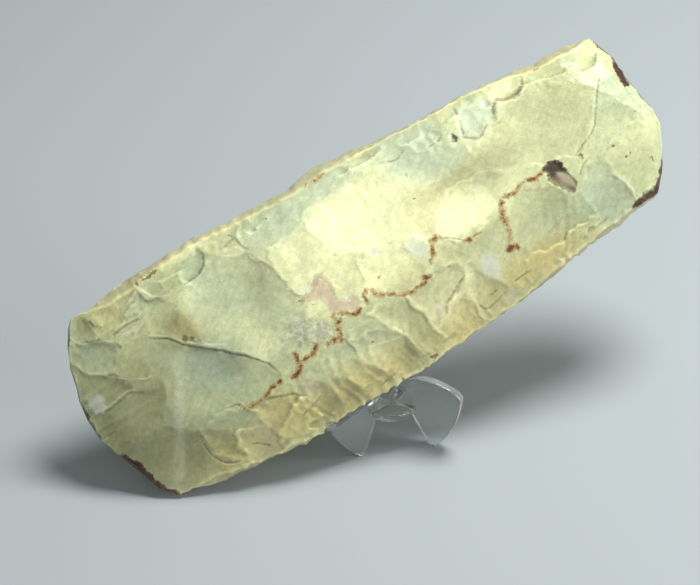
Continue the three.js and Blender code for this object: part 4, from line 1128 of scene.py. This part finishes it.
def flint_material():
    """Knapped flint: a waxy, faintly translucent stone with a satin shine and iron-stained veins."""
    material = bpy.data.materials.new("knapped_flint")
    material.use_nodes = True
    tree = material.node_tree
    tree.nodes.clear()
    place = add(tree, "ShaderNodeTexCoord").outputs["Object"]
    turn = LYING.transposed().to_euler()
    own = add(tree, "ShaderNodeMapping", {"Rotation": turn, "Scale": (1000, 1000, 1000)}, {"Vector": place})
    own = own.outputs["Vector"]
    field = {}
    for name in ("vein", "crack_and_step_shadow", "speck", "pit", "pit_top", "small_pit", "pebble", "pink", "rind", "pale",
                 "cool", "straw", "shade", "lilac", "chalk_and_highlight", "crust", "streak", "buff", "facet_tone_and_painted_shade", "ridge",
                 "stain", "rim", "glint", "painted_step_shade", "warm"):
        field[name] = add(tree, "ShaderNodeAttribute", attribute_name=name).outputs["Fac"]
    # Noise of several sizes: how wide its bumps are in millimetres, how much detail and how fine.
    noise = {}
    for name, size, detail, fine in (("clouding", 12, 4, 0.5), ("mottle", 2.2, 4, 0.6),
                                     ("grain", 0.55, 2, 0.5), ("ragged", 1.1, 3, 0.5),
                                     ("patches", 5, 3, 0.6), ("clots", 2.0, 5, 0.8)):
        texture = add(tree, "ShaderNodeTexNoise",
                      {"Scale": 1 / size, "Detail": detail, "Roughness": fine}, {"Vector": own})
        noise[name] = texture.outputs["Fac"]
    # Faint wisps in the stone, 1.5 mm wide and five times as long, all leaning one way.
    wisp_turn = add(tree, "ShaderNodeMapping", {"Rotation": (0, 0, math.radians(40)), "Scale": (5, 1, 1)},
                    {"Vector": own}, vector_type="TEXTURE")
    wisps = add(tree, "ShaderNodeTexNoise", {"Scale": 1 / 1.5, "Detail": 3.0},
                {"Vector": wisp_turn.outputs["Vector"]})

    colour = add(tree, "ShaderNodeRGB")
    colour.outputs[0].default_value = srgb("#cdd2a0")
    colour = colour.outputs[0]
    # Broad tones first. Each line: the field, the range over which it comes in, its colour and its most.
    tones = [
        # The pale tone on the next line is partly painted light.
        ("pale", 0.0, 1.1, "#fbfcc8", 1.0), ("cool", 0.0, 1.0, "#b6c9ae", 0.85),
        # The shade tone on the next line is partly painted shade.
        ("straw", 0.0, 1.0, "#dacb84", 0.8), ("shade", 0.0, 1.0, "#9a9a6e", 0.85),
        ("lilac", 0.1, 0.9, "#d0bdab", 0.7), ("streak", 0.0, 1.0, "#dde0c0", 0.45),
        ("rim", 0.2, 1.0, "#f4ebb0", 0.6), ("buff", 0.2, 1.0, "#beb48c", 0.6),
        ("warm", 0.0, 1.0, "#dccb8c", 0.55), ("warm", 0.0, -1.0, "#bfcfbb", 0.6),
        ("pink", 0.7, -0.7, "#cdb9a2", 0.6), ("pink", -0.6, -2.4, "#c9a692", 0.25),
        ("blue_patches", 0.0, 1.0, "#c3cdbd", 0.35), ("straw_patches", 0.0, 1.0, "#d3c99a", 0.35),
    ]
    # The patches are about 5 mm wide, bluish where the noise is high and straw-coloured where it is low.
    field["blue_patches"] = add(tree, "ShaderNodeMath", {1: 2.0, 2: -1.1}, {0: noise["patches"]},
                                operation="MULTIPLY_ADD").outputs[0]
    field["straw_patches"] = add(tree, "ShaderNodeMath", {1: -2.0, 2: 0.9}, {0: noise["patches"]},
                                 operation="MULTIPLY_ADD").outputs[0]
    wobble = 0.175
    for name, low, high, code, most in tones:
        amount = frayed(tree, field[name], noise["clouding"], wobble)
        colour = lay_over(tree, colour, code, amount, low, high, most)
    # Each scar is a little lighter or darker than the next, and the facet tone is partly painted shading.
    # Painted highlight lightens the crests, and painted shade darkens the hollows and the low side of each
    # step.
    # Each line: the source, its range, and what the colour is multiplied by at either end of it.
    lifts = [
        (field["facet_tone_and_painted_shade"], -1, 1, 0.76, 1.18), (field["painted_step_shade"], 0, 1, 1.0, 0.86),
        (noise["clouding"], 0.3, 0.7, 0.92, 1.06), (noise["mottle"], 0.3, 0.7, 0.90, 1.09),
        (field["ridge"], -0.12, 0.12, 0.84, 1.13), (noise["grain"], 0.3, 0.7, 0.95, 1.05),
        (wisps.outputs["Fac"], 0.35, 0.65, 0.95, 1.05),
    ]
    for source, low, high, first, last in lifts:
        lift = add(tree, "ShaderNodeMapRange",
                   {"From Min": low, "From Max": high, "To Min": first, "To Max": last}, {"Value": source})
        scaled = add(tree, "ShaderNodeVectorMath", None, {0: colour, 1: lift.outputs["Result"]},
                     operation="MULTIPLY")
        colour = scaled.outputs[0]
    # Marks with an edge: the field, how ragged the edge is, where it begins, the colour and its most.
    marks = [
        ("stain", 1.4, 0.5, "#a09672", 0.3),
        # The crack marks are partly painted shadow along the steps.
        ("glint", 0.12, 0.3, "#fbf7da", 0.45), ("crack_and_step_shadow", 0.6, 0.4, "#75694a", 0.5),
        ("vein", 2.6, 0.7, "#b8955c", 0.7), ("vein", 2.8, 0.0, "#84501f", 0.92),
        ("vein", 3.0, -0.7, "#54300f", 0.75), ("speck", 1.6, 0.2, "#6a5332", 0.75),
        ("small_pit", 0.5, 0.4, "#5f6256", 0.9), ("pit", 1.0, 0.3, "#87805f", 0.9),
        ("pit", 2.4, -0.8, "#5c5541", 0.6), ("pit_top", 2.6, 0.3, "#463724", 0.9),
        ("pebble", 1.0, 0.3, "#b9b18f", 0.7),
        ("rind", 0.9, 0.4, "#6b452c", 0.9), ("rind", 1.8, -0.1, "#3d2418", 0.9),
    ]
    for name, ragged, start, code, most in marks:
        edge = noise["clots"] if name == "vein" else noise["ragged"]
        amount = frayed(tree, field[name], edge, ragged)
        colour = lay_over(tree, colour, code, amount, start, start - 0.5, most)
    # Chalky spots, with one painted highlight among them, and a crust of light and dark crystals: the noise
    # that breaks it up and how far, the range over which it comes in, its colour and its most.
    speckles = [
        ("chalk_and_highlight", "clots", 0.85, 0.15, 0.7, "#e0e4d6", 0.65),
        ("crust", "ragged", 1.3, 0.9, 1.4, "#e6e8dc", 0.38),
        ("crust", "clots", -1.3, 0.9, 1.4, "#979a83", 0.4),
    ]
    for name, texture, swing, low, high, code, most in speckles:
        amount = frayed(tree, field[name], noise[texture], swing)
        colour = lay_over(tree, colour, code, amount, low, high, most)

    # Fine relief, 0.3 mm high in the mottling and 0.1 mm in the grain.
    bump = add(tree, "ShaderNodeBump", {"Strength": 0.45, "Distance": 0.0003}, {"Height": noise["mottle"]})
    bump = add(tree, "ShaderNodeBump", {"Strength": 0.25, "Distance": 0.0001},
               {"Height": noise["grain"], "Normal": bump.outputs[0]})
    rough = add(tree, "ShaderNodeMapRange",
                {"From Min": 0.3, "From Max": 0.7, "To Min": 0.34, "To Max": 0.46},
                {"Value": noise["mottle"]})
    # Light gets up to about 3 mm into the stone.
    skin = add(tree, "ShaderNodeBsdfPrincipled",
               {"IOR": 1.54, "Subsurface Weight": 0.6, "Subsurface Radius": (1.0, 0.9, 0.6),
                "Subsurface Scale": 0.003},
               {"Base Color": colour, "Roughness": rough.outputs["Result"], "Normal": bump.outputs[0]})
    add(tree, "ShaderNodeOutputMaterial", None, {"Surface": skin.outputs[0]})
    return material


def acrylic(name, roughness, clearness):
    """Acrylic: clear, with a faintly wavy polished skin; its sawn rims are rougher and look paler."""
    material = bpy.data.materials.new(name)
    material.use_nodes = True
    tree = material.node_tree
    tree.nodes.clear()
    place = add(tree, "ShaderNodeTexCoord").outputs["Object"]
    # The moulded skin waves over about 6 mm.
    waves = add(tree, "ShaderNodeTexNoise", {"Scale": 1000 / 6, "Detail": 1.0}, {"Vector": place})
    bump = add(tree, "ShaderNodeBump", {"Strength": 0.25, "Distance": 0.0003},
               {"Height": waves.outputs["Fac"]})
    skin = add(tree, "ShaderNodeBsdfPrincipled",
               {"Base Color": srgb("#f1f6f4"), "IOR": 1.49, "Roughness": roughness,
                "Transmission Weight": clearness},
               {"Normal": bump.outputs[0]})
    add(tree, "ShaderNodeOutputMaterial", None, {"Surface": skin.outputs[0]})
    return material


# The stand, in millimetres and degrees: three upright fins joined by a small disc.
FIN_THICKNESS = 3.4
DISC_RADIUS = 10.5
DISC_BOTTOM = 15.0
DISC_TOP = 17.6
RIGHT_TURN = -44.3
LEFT_TURN = RIGHT_TURN - 120
BACK_TURN = RIGHT_TURN + 106
LEFT_FIN_TOP = 24.0
# The gap kept between a fin and the axe, how much the rims of the fins and the disc are rounded, and the
# least angle at which a rim is rounded.
REST_GAP = 0.9
FIN_ROUNDING = 0.7
DISC_ROUNDING = 0.9
RIM_ANGLE = math.radians(50)
# Where the fins' top edges meet the open middle, as distance from the stand's axis and height.
TOP_INNER = (9, 31.8)


def curve(start, bend, end, steps):
    """Points along a quadratic curve, without its start."""
    points = []
    for i in range(1, steps + 1):
        t = i / steps
        points.append(tuple((1 - t) ** 2 * a + 2 * t * (1 - t) * b + t * t * c
                            for a, b, c in zip(start, bend, end)))
    return points


def front_fin_outline():
    """Foot, bulging outer edge, blunt corner, bowed top and open middle, from the stand's axis outwards."""
    points = [(0, DISC_BOTTOM), (DISC_RADIUS - 2, DISC_BOTTOM), (15.6, 0), (17.8, 0)]
    points += curve((17.8, 0), (29, 11), (31.4, 26.6), 10)
    points.append((29.3, 29.2))
    points += curve((29.3, 29.2), (19, 35.2), TOP_INNER, 8)
    points += curve(TOP_INNER, (6, DISC_TOP + 2), (0, DISC_TOP), 6)
    return points


def back_fin_outline():
    """The same with a longer leg, and a higher top that slopes straight down to the open middle."""
    tip = (44, 64)
    points = [(0, DISC_BOTTOM), (DISC_RADIUS - 2, DISC_BOTTOM), (42, 0), (46.5, 0)]
    points += curve((46.5, 0), (50, 28), tip, 10)
    points += [tuple(a + (b - a) * i / 8 for a, b in zip(tip, TOP_INNER)) for i in range(1, 9)]
    points += curve(TOP_INNER, (6, DISC_TOP + 2), (0, DISC_TOP), 6)
    return points


def keep_clear(outline, turn, offset, tree):
    """Lowers the outline on one face of a fin wherever the axe is in its way."""
    c, s = math.cos(math.radians(turn)), math.sin(math.radians(turn))
    cleared = []
    for r, z in outline:
        start = Vector((r * c - offset * s, r * s + offset * c, -1)) + STAND_AXIS
        hit, _, _, _ = tree.ray_cast(start * MM, Vector((0, 0, 1)))
        top = z if hit is None else min(z, hit.z / MM - REST_GAP)
        cleared.append((r, max(top, 0) if z > 0 else z))
    # The lowered stretch follows one smooth curve that stays under the axe.
    lowered = [i for i, (before, after) in enumerate(zip(outline, cleared)) if after[1] < before[1] - 0.01]
    if len(lowered) > 3:
        places = [cleared[i][0] for i in lowered]
        heights = [cleared[i][1] for i in lowered]
        bend = np.polyfit(places, heights, 2)
        smooth = np.polyval(bend, places)
        smooth = smooth - max(0, (smooth - heights).max())
        for i, z in zip(lowered, smooth):
            cleared[i] = (cleared[i][0], float(z))
    return cleared


CLEAR = acrylic("clear_moulded_acrylic", 0.03, 0.93)
RIM = acrylic("sawn_acrylic_rim", 0.35, 0.7)


def finish_plastic(piece, width):
    """Rounds the sharp rims by the width, and gives the piece the clear and the sawn plastic."""
    rim = piece.modifiers.new("rim", "BEVEL")
    rim.width = width * MM
    rim.segments = 3
    rim.limit_method = "ANGLE"
    rim.angle_limit = RIM_ANGLE
    apply_all(piece)
    for material in (CLEAR, RIM):
        piece.data.materials.append(material)


def make_fin(name, outline, turn, tree):
    """A flat plate of the outline, extruded to its thickness and cut to the axe, with rounded rims."""
    near_face = keep_clear(outline, turn, -FIN_THICKNESS / 2, tree)
    far_face = keep_clear(outline, turn, FIN_THICKNESS / 2, tree)
    deselect()
    bpy.ops.mesh.primitive_circle_add(vertices=len(outline), radius=0.01, fill_type="NGON")
    fin = bpy.context.object
    fin.name = name
    for vertex, (r, z) in zip(fin.data.vertices, near_face):
        vertex.co = (r * MM, -FIN_THICKNESS / 2 * MM, z * MM)
    bpy.ops.object.mode_set(mode="EDIT")
    bpy.ops.mesh.select_all(action="SELECT")
    bpy.ops.mesh.extrude_region_move(TRANSFORM_OT_translate={"value": (0, FIN_THICKNESS * MM, 0)})
    bpy.ops.mesh.select_all(action="SELECT")
    bpy.ops.mesh.normals_make_consistent(inside=False)
    bpy.ops.object.mode_set(mode="OBJECT")
    # The far side gets heights of its own, each by the corner of the near side that it came from.
    for vertex in fin.data.vertices:
        if vertex.co.y > 0:
            place = min(range(len(outline)), key=lambda i: (near_face[i][0] * MM - vertex.co.x) ** 2
                        + (near_face[i][1] * MM - vertex.co.z) ** 2)
            vertex.co.z = far_face[place][1] * MM
    fin.rotation_euler.z = math.radians(turn)
    fin.location = STAND_AXIS * MM
    bpy.ops.object.transform_apply(location=True, rotation=True, scale=True)
    finish_plastic(fin, FIN_ROUNDING)
    across = Vector((-math.sin(math.radians(turn)), math.cos(math.radians(turn)), 0))
    for face in fin.data.polygons:
        if abs(face.normal.dot(across)) < 0.5 and face.normal.z < 0.6:
            face.material_index = 1
    return fin


def make_stand(axe):
    """Joins the disc and the fins into one clear moulding."""
    tree = BVHTree.FromObject(axe, bpy.context.evaluated_depsgraph_get())
    deselect()
    middle = STAND_AXIS + Vector((0, 0, (DISC_TOP + DISC_BOTTOM) / 2))
    bpy.ops.mesh.primitive_cylinder_add(vertices=64, radius=DISC_RADIUS * MM,
                                        depth=(DISC_TOP - DISC_BOTTOM) * MM, location=middle * MM)
    stand = bpy.context.object
    stand.name = "clear_stand"
    bpy.ops.object.transform_apply(location=True, rotation=True, scale=True)
    finish_plastic(stand, DISC_ROUNDING)
    left = [(r, min(z, LEFT_FIN_TOP)) for r, z in front_fin_outline()]
    for name, outline, turn in (("right_fin", front_fin_outline(), RIGHT_TURN),
                                ("left_fin", left, LEFT_TURN),
                                ("back_fin", back_fin_outline(), BACK_TURN)):
        fin = make_fin(name, outline, turn, tree)
        join = stand.modifiers.new("join", "BOOLEAN")
        join.operation = "UNION"
        join.solver = "EXACT"
        join.object = fin
        apply_all(stand)
        bpy.data.objects.remove(fin)
    pick(stand)
    merge_points()
    bpy.ops.object.mode_set(mode="OBJECT")
    bpy.ops.object.shade_smooth_by_angle(angle=math.radians(35))
    return stand


axe = make_axe()
axe.data.materials.append(flint_material())
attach(axe, "root")
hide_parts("axe")

stand = make_stand(axe)
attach(stand, "root")
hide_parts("stand")


# Floor, light and camera.
deselect()
bpy.ops.mesh.primitive_plane_add(size=6, location=(0, 0, 0))
floor = bpy.context.object
floor.name = "floor"
pale = bpy.data.materials.new("pale_matt_card")
pale.use_nodes = True
card = pale.node_tree.nodes["Principled BSDF"]
card.inputs["Base Color"].default_value = srgb("#a9b0b3")
card.inputs["Roughness"].default_value = 0.85
floor.data.materials.append(pale)

# The camera, as worked out from the axe: its direction, its roll, its distance in metres, the picture's
# scale and size, the pixel that shows the axe's origin, and the width of the sensor in millimetres.
AZIMUTH = math.radians(-14.3)
ELEVATION = math.radians(36)
ROLL = math.radians(7)
DISTANCE = 1.2
PIXELS_PER_MM = 2.55
IMAGE = (700, 585)
AXE_PIXEL = (366, 270)
SENSOR = 36

back = Vector((math.sin(AZIMUTH) * math.cos(ELEVATION), -math.cos(AZIMUTH) * math.cos(ELEVATION),
               math.sin(ELEVATION)))
level = Vector((0, 0, 1)).cross(back).normalized()
rise = back.cross(level)
right = level * math.cos(ROLL) - rise * math.sin(ROLL)
top = rise * math.cos(ROLL) + level * math.sin(ROLL)
aim = (AXE_ORIGIN * MM
       - right * (AXE_PIXEL[0] - IMAGE[0] / 2) / PIXELS_PER_MM * MM
       - top * (IMAGE[1] / 2 - AXE_PIXEL[1]) / PIXELS_PER_MM * MM)
camera = bpy.data.objects.new("camera", bpy.data.cameras.new("camera"))
bpy.context.collection.objects.link(camera)
camera.data.sensor_width = SENSOR
camera.data.lens = SENSOR * DISTANCE / (IMAGE[0] / PIXELS_PER_MM * MM)
turned = Matrix((right, top, back)).transposed().to_4x4()
camera.matrix_world = Matrix.Translation(aim + back * DISTANCE) @ turned
bpy.context.scene.camera = camera


def soft_light(name, place, size, power, colour):
    """A round soft light at a place, in metres, that faces the middle of the scene."""
    light = bpy.data.lights.new(name, "AREA")
    light.shape = "DISK"
    light.size = size
    light.energy = power
    light.color = colour
    lamp = bpy.data.objects.new(name, light)
    bpy.context.collection.objects.link(lamp)
    lamp.location = place
    lamp.rotation_euler = (-Vector(place)).to_track_quat("-Z", "Y").to_euler()


soft_light("overhead", (0.36, 0.0, 1.0), 0.45, 12, (0.99, 1.0, 0.98))
soft_light("right_fill", (1.1, -0.7, 0.45), 0.5, 6, (1.0, 1.0, 1.0))
soft_light("front_fill", (0.2, -1.2, 0.5), 0.9, 2.5, (1.0, 1.0, 1.0))
world = bpy.data.worlds.new("studio")
bpy.context.scene.world = world
world.use_nodes = True
background = world.node_tree.nodes["Background"]
background.inputs["Color"].default_value = srgb("#f2f4f5")
background.inputs["Strength"].default_value = 0.26
bpy.context.scene.view_settings.view_transform = "Standard"
